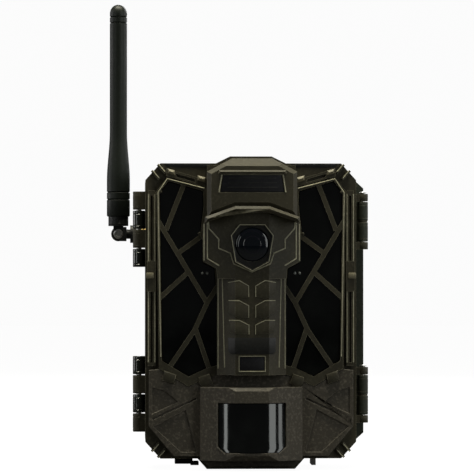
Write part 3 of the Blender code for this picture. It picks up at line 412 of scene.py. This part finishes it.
def wire(name, points, radius, closed=False):
    """A round bead along straight runs."""
    curve = bpy.data.curves.new(name, "CURVE")
    curve.dimensions = "3D"
    curve.bevel_depth = radius * MM
    curve.bevel_resolution = 2
    curve.use_fill_caps = True
    spline = curve.splines.new("POLY")
    spline.points.add(len(points) - 1)
    for point, co in zip(spline.points, points):
        point.co = (*(Vector(co) * MM), 1)
    spline.use_cyclic_u = closed
    guide = bpy.data.objects.new(name, curve)
    bpy.context.scene.collection.objects.link(guide)
    graph = bpy.context.evaluated_depsgraph_get()
    mesh = bpy.data.meshes.new_from_object(guide.evaluated_get(graph))
    bpy.data.objects.remove(guide)
    bpy.data.curves.remove(curve)
    form = bmesh.new()
    form.from_mesh(mesh)
    bpy.data.meshes.remove(mesh)
    bmesh.ops.remove_doubles(form, verts=form.verts, dist=1e-6)
    return made_of(name, form)


def helix(name, axis_start, axis, radius, pitch, length, bead):
    """A thread: a fine bead wound along an axis."""
    steps = int(length / pitch * 24)
    points = []
    for i in range(steps + 1):
        angle = 2 * pi * i / 24
        u, v, along = radius * cos(angle), radius * sin(angle), pitch * i / 24
        point = {"x": (along, u, v), "y": (v, along, u), "z": (u, v, along)}[axis]
        points.append(Vector(axis_start) + Vector(point))
    return wire(name, points, bead)


def mirrored(outline):
    return [(-x, z) for x, z in outline]


def both_halves(left_half):
    return list(left_half) + mirrored(reversed(left_half))


# Carried-over solids: rounded edges and finishes

FINISHES = {
    "olive_plastic": OLIVE,
    "taupe_plastic": TAUPE,
    "gloss_black": GLOSS,
    "hinge_steel": STEEL,
    "black_plastic": BLACK,
    "rubber": RUBBER,
    "lens_glass": SCREEN,
    "brass": BRASS,
    "circuit_board": BOARD,
    "cell_label": SLEEVE,
}
OWN_FINISH = {"rear_housing": HOUSING, "strap_bridge": HOUSING, "casing_gasket": SEAL}
ROUNDING = {"rear_housing": 0.6, "front_cover": 0.35, "face_column": 0.4, "lower_panel": 0.4}
SLOTS = {p["node"]: p["material_slot"] for p in frame["record"]["subparts"]}


def round_edges(node, width):
    """Merges a solid's flat faces and rounds its edges, without touching its mesh."""
    made = frame["nodes"][node]
    weld = made.modifiers.new("weld", "WELD")
    weld.merge_threshold = 1e-6
    flat = made.modifiers.new("flat", "DECIMATE")
    flat.decimate_type = "DISSOLVE"
    flat.angle_limit = radians(1)
    rounded = made.modifiers.new("round", "BEVEL")
    rounded.width = width * MM
    rounded.segments = 2
    rounded.limit_method = "ANGLE"
    rounded.angle_limit = radians(28)
    rounded.harden_normals = True
    rounded.use_clamp_overlap = True


for node, solid in frame["nodes"].items():
    solid.data.materials.clear()
    solid.data.materials.append(OWN_FINISH.get(node, FINISHES[SLOTS[node]]))
    round_edges(node, ROUNDING.get(node, 0.18))


# Face


def hood_details():
    outline = both_halves([(-12.4, 126.1), (-13.6, 119.0)])
    badge = prism("hood_badge", outline, HOOD_FACE + 0.22, HOOD_FACE + 0.8, 0.15)
    settle(badge, "cover", PLATE)
    for i in range(3):
        z = 120.6 + i * 2.0
        half = 10.6 - 0.3 * i
        stripe = block(
            f"badge_line_{i}",
            (-half, HOOD_FACE + 0.12, z),
            (half, HOOD_FACE + 0.6, z + 0.5),
            0.1,
        )
        settle(stripe, "cover", BLACK)
    for side, name in SIDES:
        points = [(side * x, HOOD_FACE, z) for x, z in ((13.1, 126.3), (14.2, 118.8))]
        # Pale beads beside the badge: painted highlight.
        settle(wire(f"badge_rim_{name}", points, 0.3), "cover", EDGE_HIGHLIGHT)


CONTOUR = [(-18.6, 106.4), (-18.3, 103.5), (-14.2, 98.9), (-14.2, 95.0), (-9.2, 92.9)]
CONTOUR += [(-7.85, 88.4), (0, 84.9)]


def on_block(points, half=BLOCK_HALF, drop=BLOCK_DROP):
    """Points on the faceted front, with one added wherever a run crosses a crease."""
    path = []
    for (x0, z0), (x1, z1) in zip(points, points[1:]):
        path.append((x0, z0))
        for crease in sorted((-FACET_HALF, FACET_HALF), reverse=x0 > x1):
            if (x0 - crease) * (x1 - crease) < 0:
                path.append((crease, z0 + (z1 - z0) * (crease - x0) / (x1 - x0)))
    path.append(points[-1])
    return [(x, depth_at(x, half, drop) + 0.05, z) for x, z in path]


def crown_bands():
    """The dark strips along the top of the cover, either side of the hood."""
    outline = [(-37.4, 131.7), (-17.6, 131.7), (-17.6, 130.0), (-35.8, 130.0)]
    for side, name in SIDES:
        band = prism(
            f"crown_band_{name}",
            outline if side < 0 else mirrored(outline),
            COVER_FRONT - 0.2,
            COVER_FRONT + 0.4,
            0.12,
        )
        settle(band, "cover", BLACK)


def lens_block_details():
    # Pale beads along the block's contour and flanks: painted highlight.
    ridge = wire("lens_contour", on_block(CONTOUR + mirrored(reversed(CONTOUR[:-1]))), 0.32)
    settle(ridge, "cover", EDGE_HIGHLIGHT)
    for side, name in SIDES:
        flank = [(side * x, z) for x, z in ((19.0, 106.0), (19.0, 90.6), (14.0, 87.6))]
        bead = wire(f"block_flank_{name}", on_block(flank), 0.3)
        settle(bead, "cover", EDGE_HIGHLIGHT)
    rows = (
        [(-10.2, 80.4), (-5.5, 81.2), (-1.5, 78.9), (-1.5, 74.2), (-5.5, 73.4), (-10.2, 75.5)],
        [(-10.0, 72.7), (-5.5, 72.6), (-1.5, 70.5), (-1.5, 65.4), (-5.5, 65.0), (-10, 67.6)],
        [(-9.8, 64.2), (-5.5, 64.2), (-1.4, 62.2), (-1.4, 58.2), (-5.5, 58.3), (-9.4, 58.9)],
    )
    for i, row in enumerate(rows):
        for side, name in SIDES:
            outline = row if side < 0 else mirrored(row)
            pad = draped(f"pad_{name}_{i}", outline, LOWER_HALF, LOWER_DROP, 0.5, 0.2)
            settle(pad, "cover", OLIVE)
            # Pale crests on the pads: painted highlight on their lit top edges.
            crest = [(x, y - 0.5, z) for x, y, z in on_block(outline[:4], LOWER_HALF, LOWER_DROP)]
            crest = wire(f"pad_crest_{name}_{i}", crest, 0.17)
            settle(crest, "cover", EDGE_HIGHLIGHT)
    wide = both_halves([(-10.3, 56.8), (-10.1, 50.8), (-8.9, 49.8)])
    plate = draped("column_plate", wide, LOWER_HALF, LOWER_DROP, 0.35, 0.12)
    settle(plate, "cover", WELL)
    small = both_halves([(-5.2, 48.5), (-5.2, 42.9)])
    plate = prism("column_plate_small", small, COLUMN_FRONT + 0.15, COLUMN_FRONT + 0.8, 0.12)
    settle(plate, "cover", PLATE)
    # Pale rim round the small plate: painted highlight.
    frame_points = [(x, COLUMN_FRONT, z) for x, z in both_halves([(-5.6, 48.9), (-5.6, 42.4)])]
    rim = wire("column_plate_rim", frame_points, 0.22, closed=True)
    settle(rim, "cover", EDGE_HIGHLIGHT)


def lens():
    """The seven-sided bezel, a sloped well, and a domed front glass with dark rings in it."""
    r = (corners("lens_glass")[1].x - corners("lens_glass")[0].x) / 2 + 0.3
    left = [(-r + 1.7, r + 1.8), (-r - 1.8, r - 2.8), (-r, 0.2 - r), (0, -r - 3.6)]
    edge = divided(left + mirrored(reversed(left[:3])), 8)
    front = corners("lens_bezel")[0].y
    rings = [
        [(p * share, drop) for p in edge]
        for share, drop in ((1.02, 1.0), (1.02, 0.0), (0.99, -0.15), (0.95, 0.0), (0.93, 0.5))
    ]
    for radius, drop in ((GLASS_RADIUS + 0.25, 0.6), (GLASS_RADIUS, 0.9), (GLASS_RADIUS, 2.4)):
        rings.append([(p.normalized() * radius + GLASS_LIFT, drop) for p in edge])
    form = bmesh.new()
    made = [
        [form.verts.new(Vector((p.x, front + drop, p.y + LENS_Z)) * MM) for p, drop in ring]
        for ring in rings
    ]
    for outer, inner in zip(made, made[1:]):
        for i in range(len(edge)):
            j = (i + 1) % len(edge)
            form.faces.new((outer[i], outer[j], inner[j], inner[i]))
    well = made_of("lens_well", form)
    settle(well, "cover", WELL, 25)
    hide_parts("lens_bezel")
    # Pale rim round the bezel: painted highlight.
    rim = [(p.x, front - 0.05, p.y + LENS_Z) for p in edge[::8]]
    settle(wire("lens_rim", [*rim, rim[0]], 0.2), "cover", EDGE_HIGHLIGHT)
    centre = (0, front, LENS_Z + GLASS_LIFT.y)
    quarter = [pi / 2 * i / 12 for i in range(13)]
    dome = [(GLASS_RADIUS - 0.03, 2.3)]
    dome += [((GLASS_RADIUS - 0.03) * cos(a), 1.6 - 1.4 * sin(a)) for a in quarter]
    glass = turned("lens_dome", "y", dome, centre, 64)
    settle(glass, "cover", GLASS, 60)
    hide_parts("lens_glass")
    for i, share in enumerate((0.8, 0.5)):
        radius = share * GLASS_RADIUS
        drop = 1.6 - 1.4 * sqrt(1 - share * share)
        ring = [(radius + 0.12, drop), (radius, drop - 0.06), (radius - 0.2, drop)]
        settle(turned(f"lens_ring_{i}", "y", ring, centre, 64), "cover", COATING)


def divided(outline, count):
    """A closed outline with each side cut into equal runs, its corners kept."""
    points = [Vector(p) for p in outline]
    path = []
    for a, b in zip(points, points[1:] + points[:1]):
        path += [a.lerp(b, i / count) for i in range(count)]
    return path


def with_depth(points, depth):
    return [(x, depth, z) for x, z in points]


def edge_lines():
    """The crisp rolled edges of the rails, windows, column and hood, as pale beads that are a painted highlight.
    """
    rail_front = COVER_FRONT - 1.7
    lines = {
        "rail_outer": with_depth([(-44.2, 46), (-44.2, 118.5)], rail_front),
        "rail_inner": with_depth([(-41.4, 46), (-41.4, 118.5)], rail_front),
        "window_side": with_depth([(-38.9, 48.5), (-39.9, 106.6), (-40.1, 119)], BEZEL_FRONT),
        "window_head": with_depth([(-40.1, 119), (-36.1, 125), (-20.2, 120.9)], BEZEL_FRONT),
        "block_side": on_block([(-20.4, 105.5), (-20.4, 89.8)]),
        "column_side": on_block([(-14.3, 84.5), (-14.3, 43.5)], LOWER_HALF, LOWER_DROP),
        "column_inner": on_block([(-12.6, 82.5), (-11.6, 44.0)], LOWER_HALF, LOWER_DROP),
    }
    ribs = (((-40.0, 4.9), (-37.2, 8.1)), ((-42.6, 7.5), (-39.8, 10.9)))
    top = CASING_TOP + CASING_FOOT
    for i, (start, end) in enumerate(ribs):
        lines[f"corner_foot_{i}"] = with_depth([start, end], rail_front + 0.2)
        above = [(start[0], top - start[1]), (end[0], top - end[1])]
        lines[f"corner_head_{i}"] = with_depth(above, rail_front + 0.2)
    for side, name in SIDES:
        for line, points in lines.items():
            flipped = [(-side * x, y, z) for x, y, z in points]
            made = wire(f"{line}_{name}", flipped, 0.26)
            settle(made, "cover", EDGE_HIGHLIGHT)
        # Pale clip bumps on the rails: painted highlight.
        bump = block(
            f"clip_bump_{name}",
            (side * 43.6 - 1.7, rail_front - 1.4, 82.0),
            (side * 43.6 + 1.7, rail_front + 0.2, 84.6),
            0.4,
        )
        settle(bump, "cover", PAINTED_LIT_TAB)


def window_details():
    blocks = {
        "outer": [(-37.3, 42.6), (-32.2, 40.7), (-33.2, 36.6), (-38.2, 38.2)],
        "inner": [(-22.8, 39.6), (-18.0, 41.2), (-16.4, 37.0), (-19.6, 34.9), (-22.4, 36.6)],
    }
    tabs = {
        "outer": [(-36.0, 129.5), (-32.8, 128.6), (-32.8, 126.5), (-36.0, 127.4)],
        "inner": [(-23.1, 126.6), (-19.6, 125.6), (-19.6, 123.4), (-23.1, 124.4)],
    }
    dots = ((-39.0, 119.4), (-22.3, 101.4))
    for side, name in SIDES:
        for place, outline in blocks.items():
            turned_outline = outline if side < 0 else mirrored(outline)
            made = prism(
                f"foot_block_{place}_{name}", turned_outline, BEZEL_FRONT - 0.9, COVER_FRONT, 0.5
            )
            settle(made, "cover", OLIVE)
        # Head tabs in the pale colour: painted highlight on their lit tops.
        for place, outline in tabs.items():
            turned_outline = outline if side < 0 else mirrored(outline)
            made = prism(
                f"head_tab_{place}_{name}", turned_outline, COVER_FRONT - 2.7, COVER_FRONT, 0.9, 1
            )
            settle(made, "cover", PAINTED_LIT_TAB)
        for i, (x, z) in enumerate(dots):
            head = [(0, -0.3), (0.35, -0.27), (0.6, -0.1), (0.65, 0.6)]
            dot = turned(f"bezel_stud_{name}_{i}", "y", head, (side * -x, BEZEL_FRONT, z), 20)
            settle(dot, "cover", OLIVE)
        for i, x in enumerate((18.9, 21.0)):
            head = [(0, -0.35), (0.3, -0.3), (0.55, -0.05), (0.6, 0.3)]
            lamp = turned(f"lamp_{name}_{i}", "y", head, (side * x, PANE_FRONT, 84.4), 20)
            settle(lamp, "cover", EMITTER)


def sensor_window():
    """The bowed window over the motion sensor."""
    low, high = corners("sensor_window")
    steps, levels = 40, 13
    form = bmesh.new()
    rings = []
    for k in range(levels):
        z = low.z + (high.z - low.z) * k / (levels - 1)
        narrow = max(0.0, 2.3 - (z - low.z)) * 1.2
        arc = []
        for i in range(steps + 1):
            x = (i / steps * 2 - 1) * (high.x - narrow)
            arc.append((x, low.y + WINDOW_BOW * (x / high.x) ** 2 + WINDOW_LEAN * (z - low.z)))
        ring = arc + [(x, y + 1.2) for x, y in reversed(arc)]
        rings.append([form.verts.new(Vector((x, y, z)) * MM) for x, y in ring])
    for a, b in zip(rings, rings[1:]):
        for i in range(len(a)):
            j = (i + 1) % len(a)
            form.faces.new((a[i], a[j], b[j], b[i]))
    form.faces.new(rings[0])
    form.faces.new(rings[-1])
    window = made_of("sensor_lens", form)
    settle(window, "cover", GLOSS, 40)
    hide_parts("sensor_window")
    for side, name in SIDES:
        post = []
        for x, z in ((14.9, 28.6), (14.9, 10.0), (11.5, 7.1)):
            post.append((side * x, depth_at(x, SENSOR_BLOCK_HALF, SENSOR_BLOCK_DROP, LOWER_FRONT), z))
        settle(wire(f"sensor_frame_{name}", post, 0.25), "cover", TAUPE)


# Hinges and latches


def barrel(name, centre, low, high, radius, body, material, waist=True):
    rim = 0.45
    profile = [(1.3, low), (radius - rim, low), (radius - 0.12, low + 0.13), (radius, low + rim)]
    if waist:
        for z in (low + 1.3, high - 1.3):
            profile += [(radius, z - 0.25), (radius - 0.22, z), (radius, z + 0.25)]
    profile += [(radius, high - rim), (radius - 0.12, high - 0.13)]
    profile += [(radius - rim, high), (1.3, high)]
    made = turned(name, "z", profile, (*centre, 0))
    settle(made, body, material)


def hinges():
    axis = JOINT_PLACE["cover_hinge"]
    radius = -corners("front_cover")[0].x + axis.x + 0.05
    for pin, owners in (("upper", ("cover", "housing")), ("lower", ("housing", "cover"))):
        top = corners(f"hinge_pin_{pin}")[1].z
        for i in range(4):
            owner = owners[i % 2]
            high = top - i * KNUCKLE_PITCH
            finish = OLIVE if owner == "cover" else KNUCKLE_BLACK
            barrel(
                f"hinge_sleeve_{pin}_{i}",
                axis.xy,
                high - KNUCKLE + 0.05,
                high - 0.05,
                radius,
                owner,
                finish,
            )


def latches():
    for name in ("upper", "lower"):
        axis = JOINT_PLACE[f"latch_{name}_hinge"]
        low, high = (c.z for c in corners(f"latch_lever_{name}"))
        radius = corners(f"latch_lever_{name}")[1].x - axis.x + 0.03
        third = (high - low) / 2
        for i in range(2):
            barrel(
                f"latch_sleeve_{name}_{i}",
                axis.xy,
                low + i * third + 0.3 * i,
                low + (i + 1) * third - 0.3 * (1 - i),
                radius,
                f"latch_{name}",
                HOUSING,
            )
        for i, start in enumerate((low - 0.3 - 3.2, high + 0.3)):
            barrel(
                f"latch_ear_{name}_{i}",
                axis.xy,
                start,
                start + 3.2,
                radius,
                "cover",
                OLIVE,
                False,
            )
        outer = corners(f"latch_lever_{name}")[1].x
        for i in range(4):
            y = axis.y + 7.5 + i * 2.2
            grip = block(
                f"latch_grip_{name}_{i}",
                (outer - 0.5, y, low + 2),
                (outer - 0.02, y + 0.9, high - 2),
                0.2,
            )
            settle(grip, f"latch_{name}", HOUSING)


# Antenna


def antenna():
    low, high = corners("antenna_whip")
    x, y = (low.x + high.x) / 2, (low.y + high.y) / 2
    radius, tip_radius = (high.x - low.x) / 2, 3.8
    foot, tip = low.z, high.z
    shoulder, waist = foot + 16.0, foot + 37.3
    profile = [(0, tip)]
    for i in range(1, 10):
        angle = pi / 2 * i / 9
        profile.append((tip_radius * sin(angle), tip - 4 + 4 * cos(angle)))
    for height in (5.2, 7.8):
        profile += [
            (tip_radius, tip - height),
            (tip_radius - 0.4, tip - height - 0.3),
            (tip_radius, tip - height - 0.6),
        ]
    for i in range(13):
        share = i / 12
        ease = share * share * (3 - 2 * share)
        swell = tip_radius + (radius - tip_radius) * ease
        profile.append((swell, waist + (shoulder - waist) * share))
    for height in (10.8, 7.6):
        profile += [
            (radius, foot + height + 0.35),
            (radius - 0.4, foot + height),
            (radius, foot + height - 0.35),
        ]
    profile += [(radius, foot + 0.6), (radius - 0.2, foot + 0.15), (radius - 0.6, foot)]
    profile += [(2.2, foot), (2.2, foot + 2)]
    whip = turned("whip", "z", profile, (x, y, 0))
    settle(whip, "whip", RUBBER)
    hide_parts("antenna_whip")
    low, high = corners("antenna_base")
    collar_foot = high.z - 5 - 3.8
    collar_top = high.z - 5
    collar = [(2.1, collar_top + 0.3), (4.3, collar_top + 0.28), (4.4, collar_top - 0.2)]
    for i in range(2):
        z = collar_top - 1.2 - i * 1.1
        collar += [(4.4, z + 0.3), (4.15, z), (4.4, z - 0.3)]
    collar += [(4.4, collar_foot + 0.3), (4.2, collar_foot), (1.5, collar_foot - 0.02)]
    made = turned("whip_collar", "z", collar, (x, y, 0))
    settle(made, "whip", BLACK)
    low, high = corners("antenna_nut")
    centre = (0, (low.y + high.y) / 2, (low.z + high.z) / 2)
    radius = (high.z - low.z) / 2
    nut = [
        (2.4, low.x),
        (radius - 0.5, low.x),
        (radius, low.x + 0.5),
        (radius, high.x - 0.5),
        (radius - 0.5, high.x),
        (3.4, high.x),
    ]
    made = turned("nut_grip", "x", nut, centre, 96, 24, 0.22)
    settle(made, "antenna_turn", BLACK, 20)
    low, high = corners("antenna_jack")
    thread = helix("jack_thread", (low.x + 0.3, *centre[1:]), "x", 2.85, 0.6, 2.6, 0.14)
    settle(thread, "housing", BRASS)
    low, high = corners("antenna_elbow")
    hub = JOINT_PLACE["antenna_swivel"]
    for i, (start, finish) in enumerate(((low.y, 1), (high.y, -1))):
        cap = [(0, 0.25), (1.1, 0.25), (1.25, 0.0), (1.9, 0.0), (2.1, 0.12), (2.2, 0.3)]
        cap = [(r, finish * (d - 0.12)) for r, d in cap]
        made = turned(f"elbow_cap_{i}", "y", cap, (hub.x, start, hub.z), 32)
        settle(made, "antenna_turn", STEEL)


# Underside and back


def underside():
    low, high = corners("tripod_insert")
    centre = ((low.x + high.x) / 2, (low.y + high.y) / 2)
    thread = helix("tripod_thread", (*centre, low.z + 0.4), "z", 3.1, 1.27, 6.4, 0.2)
    settle(thread, "housing", BRASS)
    low, high = corners("port_plug")
    for i in range(3):
        x = high.x - 1.2 - i * 1.0
        foot = (x, low.y + 0.6, low.z + 0.02)
        rib = block(f"plug_rib_{i}", foot, (x + 0.5, high.y - 0.6, low.z + 0.5), 0.15)
        settle(rib, "plug", RUBBER)


def back():
    for name in ("left", "right"):
        low, high = corners(f"bridge_screw_{name}")
        x, z, y = (low.x + high.x) / 2, (low.z + high.z) / 2, high.y
        head = [(0, y - 0.9), (0.9, y - 0.9), (1.0, y - 0.15), (1.6, y - 0.08)]
        head += [(2.4, y - 0.7), (2.83, y - 1.4), (2.83, y - 2.2)]
        made = turned(f"screw_head_{name}", "y", head, (x, 0, z), 40)
        settle(made, "housing", STEEL)
        for i, turn in enumerate(((1.5, 0.3), (0.3, 1.5))):
            slot = block(
                f"screw_cross_{name}_{i}",
                (x - turn[0], y - 0.5, z - turn[1]),
                (x + turn[0], y - 0.02, z + turn[1]),
                0.05,
                1,
            )
            settle(slot, "housing", BLACK)
    low, high = corners("strap_bridge")
    for i in range(9):
        z = low.z + 4.0 + i * (high.z - low.z - 8.0) / 8
        for side, name in SIDES:
            tooth = block(
                f"bridge_tooth_{name}_{i}",
                (side * 24 - 2.2, high.y - 0.35, z - 0.8),
                (side * 24 + 2.2, high.y - 0.01, z + 0.8),
                0.15,
            )
            settle(tooth, "housing", HOUSING)
    for i in range(4):
        z = 100 + i * 6
        rib = block(
            f"back_rib_{i}", (-24, HOUSING_BACK - 0.5, z), (24, HOUSING_BACK + 0.7, z + 1.6), 0.4
        )
        settle(rib, "housing", HOUSING)
    label = block(
        "back_label", (-22, HOUSING_BACK - 0.3, 14), (22, HOUSING_BACK + 0.15, 36), 0.1
    )
    settle(label, "housing", PLATE)


# Insides


def cells():
    for i in range(1, 9):
        low, high = corners(f"cell_{i}")
        x, y = (low.x + high.x) / 2, (low.y + high.y) / 2
        r = (high.x - low.x) / 2
        nub_up = i % 2 == 1
        profile = [(0, high.z - low.z), (2.5, high.z - low.z), (2.75, high.z - low.z - 0.2)]
        length = high.z - low.z
        profile += [(2.75, length - 1.2), (r - 1.2, length - 1.25), (r - 0.3, length - 1.0)]
        profile += [(r, length - 1.4), (r, 0.5), (r - 0.3, 0.1), (r - 0.8, 0), (0, 0)]
        if not nub_up:
            profile = [(q, length - z) for q, z in profile]
        cell = turned(f"cell_body_{i}", "z", profile, (x, y, low.z))
        settle(cell, "housing", SLEEVE)
        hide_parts(f"cell_{i}")
        start = low.z + (2.0 if nub_up else 16.0)
        band = [(r - 0.2, 0), (r + 0.06, 0.05), (r + 0.06, 32.0), (r - 0.2, 32.05)]
        sleeve = turned(f"cell_band_{i}", "z", band, (x, y, start))
        settle(sleeve, "housing", BAND)


def controls():
    names = ("up", "down", "left", "right", "ok")
    for name in names:
        low, high = corners(f"button_{name}")
        x, z = (low.x + high.x) / 2, (low.z + high.z) / 2
        r = 3.2
        profile = [(0, high.y - 0.15), (1.6, high.y - 0.1), (2.3, high.y), (2.9, high.y - 0.2)]
        profile += [(r, high.y - 0.6), (r, low.y + 0.9), (r + 1, low.y + 0.8), (r + 1, low.y)]
        cap = turned(f"button_cap_{name}", "y", profile, (x, 0, z), 40)
        settle(cap, f"key_{name}", RUBBER)
        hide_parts(f"button_{name}")
    low, high = corners("display")
    rim = [(low.x + 1, low.z + 1), (low.x + 1, high.z - 1), (high.x - 1, high.z - 1)]
    rim += [(high.x - 1, low.z + 1)]
    points = [(x, high.y + 0.02, z) for x, z in rim]
    settle(wire("display_rim", points, 0.3, True), "cover", BLACK)
    low, high = corners("memory_card")
    for i in range(8):
        z = low.z + 2.4 + i * 2.5
        foot = (low.x + 0.6, low.y - 0.02, z)
        pad = block(f"card_contact_{i}", foot, (low.x + 4.6, low.y + 0.3, z + 1.6), 0.05, 1)
        settle(pad, "card", GOLD)
    low, high = corners("power_switch")
    for i in range(3):
        x = (low.x + high.x) / 2 - 1.2 + i * 1.0
        foot = (x, high.y - 0.4, low.z + 1.4)
        rib = block(f"switch_rib_{i}", foot, (x + 0.4, high.y - 0.02, high.z - 1.4), 0.08, 1)
        settle(rib, "switch", BLACK)


# Stage


def stage():
    """A pale floor and backdrop, soft lights, and the camera."""
    floor, nodes, links, shader = shader_of("floor")
    nodes.remove(shader)
    ray = nodes.new("ShaderNodeLightPath")
    pale = nodes.new("ShaderNodeEmission")
    pale.inputs["Color"].default_value = (1, 1, 1, 1)
    pale.inputs["Strength"].default_value = 0.97
    matte = nodes.new("ShaderNodeBsdfDiffuse")
    matte.inputs["Color"].default_value = (0.06, 0.06, 0.06, 1)
    both = nodes.new("ShaderNodeAddShader")
    mix = nodes.new("ShaderNodeMixShader")
    links.new(pale.outputs[0], both.inputs[0])
    links.new(matte.outputs[0], both.inputs[1])
    links.new(ray.outputs["Is Camera Ray"], mix.inputs["Fac"])
    links.new(matte.outputs[0], mix.inputs[1])
    links.new(both.outputs[0], mix.inputs[2])
    links.new(mix.outputs[0], nodes["Material Output"].inputs["Surface"])
    form = bmesh.new()
    bmesh.ops.create_grid(form, x_segments=8, y_segments=8, size=4)
    ground = made_of("floor", form)
    ground.location.z = -0.0005
    ground.data.materials.append(floor)
    world = bpy.data.worlds.new("studio")
    bpy.context.scene.world = world
    world.use_nodes = True
    nodes, links = world.node_tree.nodes, world.node_tree.links
    room = nodes["Background"]
    room.inputs["Color"].default_value = (0.05, 0.05, 0.05, 1)
    bright = nodes.new("ShaderNodeBackground")
    bright.inputs["Color"].default_value = (0.97, 0.97, 0.97, 1)
    ray = nodes.new("ShaderNodeLightPath")
    mix = nodes.new("ShaderNodeMixShader")
    links.new(ray.outputs["Is Camera Ray"], mix.inputs["Fac"])
    links.new(room.outputs[0], mix.inputs[1])
    links.new(bright.outputs[0], mix.inputs[2])
    links.new(mix.outputs[0], nodes["World Output"].inputs["Surface"])
    aim = Vector((-6, COVER_FRONT, 70)) * MM
    lights = (
        ("top", (-0.03, -0.1, 0.95), 15, (0.7, 0.22), (1, 0.96, 0.78)),
        ("left", (-0.72, -0.67, 0.2), 1.1, (0.09, 0.9), (0.96, 1, 0.97)),
        ("right", (0.64, -0.73, 0.2), 2.0, (0.2, 0.9), (0.96, 1, 0.97)),
        ("far_right", (0.8, -0.56, 0.2), 0.9, (0.1, 0.9), (0.96, 1, 0.97)),
        ("back", (0.3, 0.9, 0.6), 9, (0.8, 0.6), (1, 1, 1)),
        ("side", (1.0, 0.2, 0.3), 3, (0.5, 0.7), (1, 1, 1)),
        ("far_side", (-1.0, 0.2, 0.3), 3, (0.5, 0.7), (1, 1, 1)),
    )
    for name, place, power, size, tint in lights:
        lamp = bpy.data.lights.new(name, "AREA")
        lamp.shape = "RECTANGLE"
        lamp.size, lamp.size_y = size
        lamp.energy = power
        lamp.color = tint
        holder = bpy.data.objects.new(f"light_{name}", lamp)
        bpy.context.scene.collection.objects.link(holder)
        holder.location = place
        holder.rotation_euler = (aim - holder.location).to_track_quat("-Z", "Y").to_euler()
    camera = bpy.data.cameras.new("camera")
    camera.lens, camera.sensor_width = 176 * CAMERA_DISTANCE, 36
    eye = bpy.data.objects.new("camera", camera)
    bpy.context.scene.collection.objects.link(eye)
    look = Vector((-6, COVER_FRONT, 100)) * MM
    azimuth, elevation = radians(-2.0), radians(-0.8)
    way = Vector((sin(azimuth) * cos(elevation), -cos(azimuth) * cos(elevation), sin(elevation)))
    eye.location = look + way * CAMERA_DISTANCE
    eye.rotation_euler = (-way).to_track_quat("-Z", "Y").to_euler()
    bpy.context.scene.camera = eye
    bpy.context.scene.view_settings.view_transform = "Standard"


hood_details()
crown_bands()
lens_block_details()
lens()
window_details()
edge_lines()
sensor_window()
hinges()
latches()
antenna()
underside()
back()
cells()
controls()
stage()
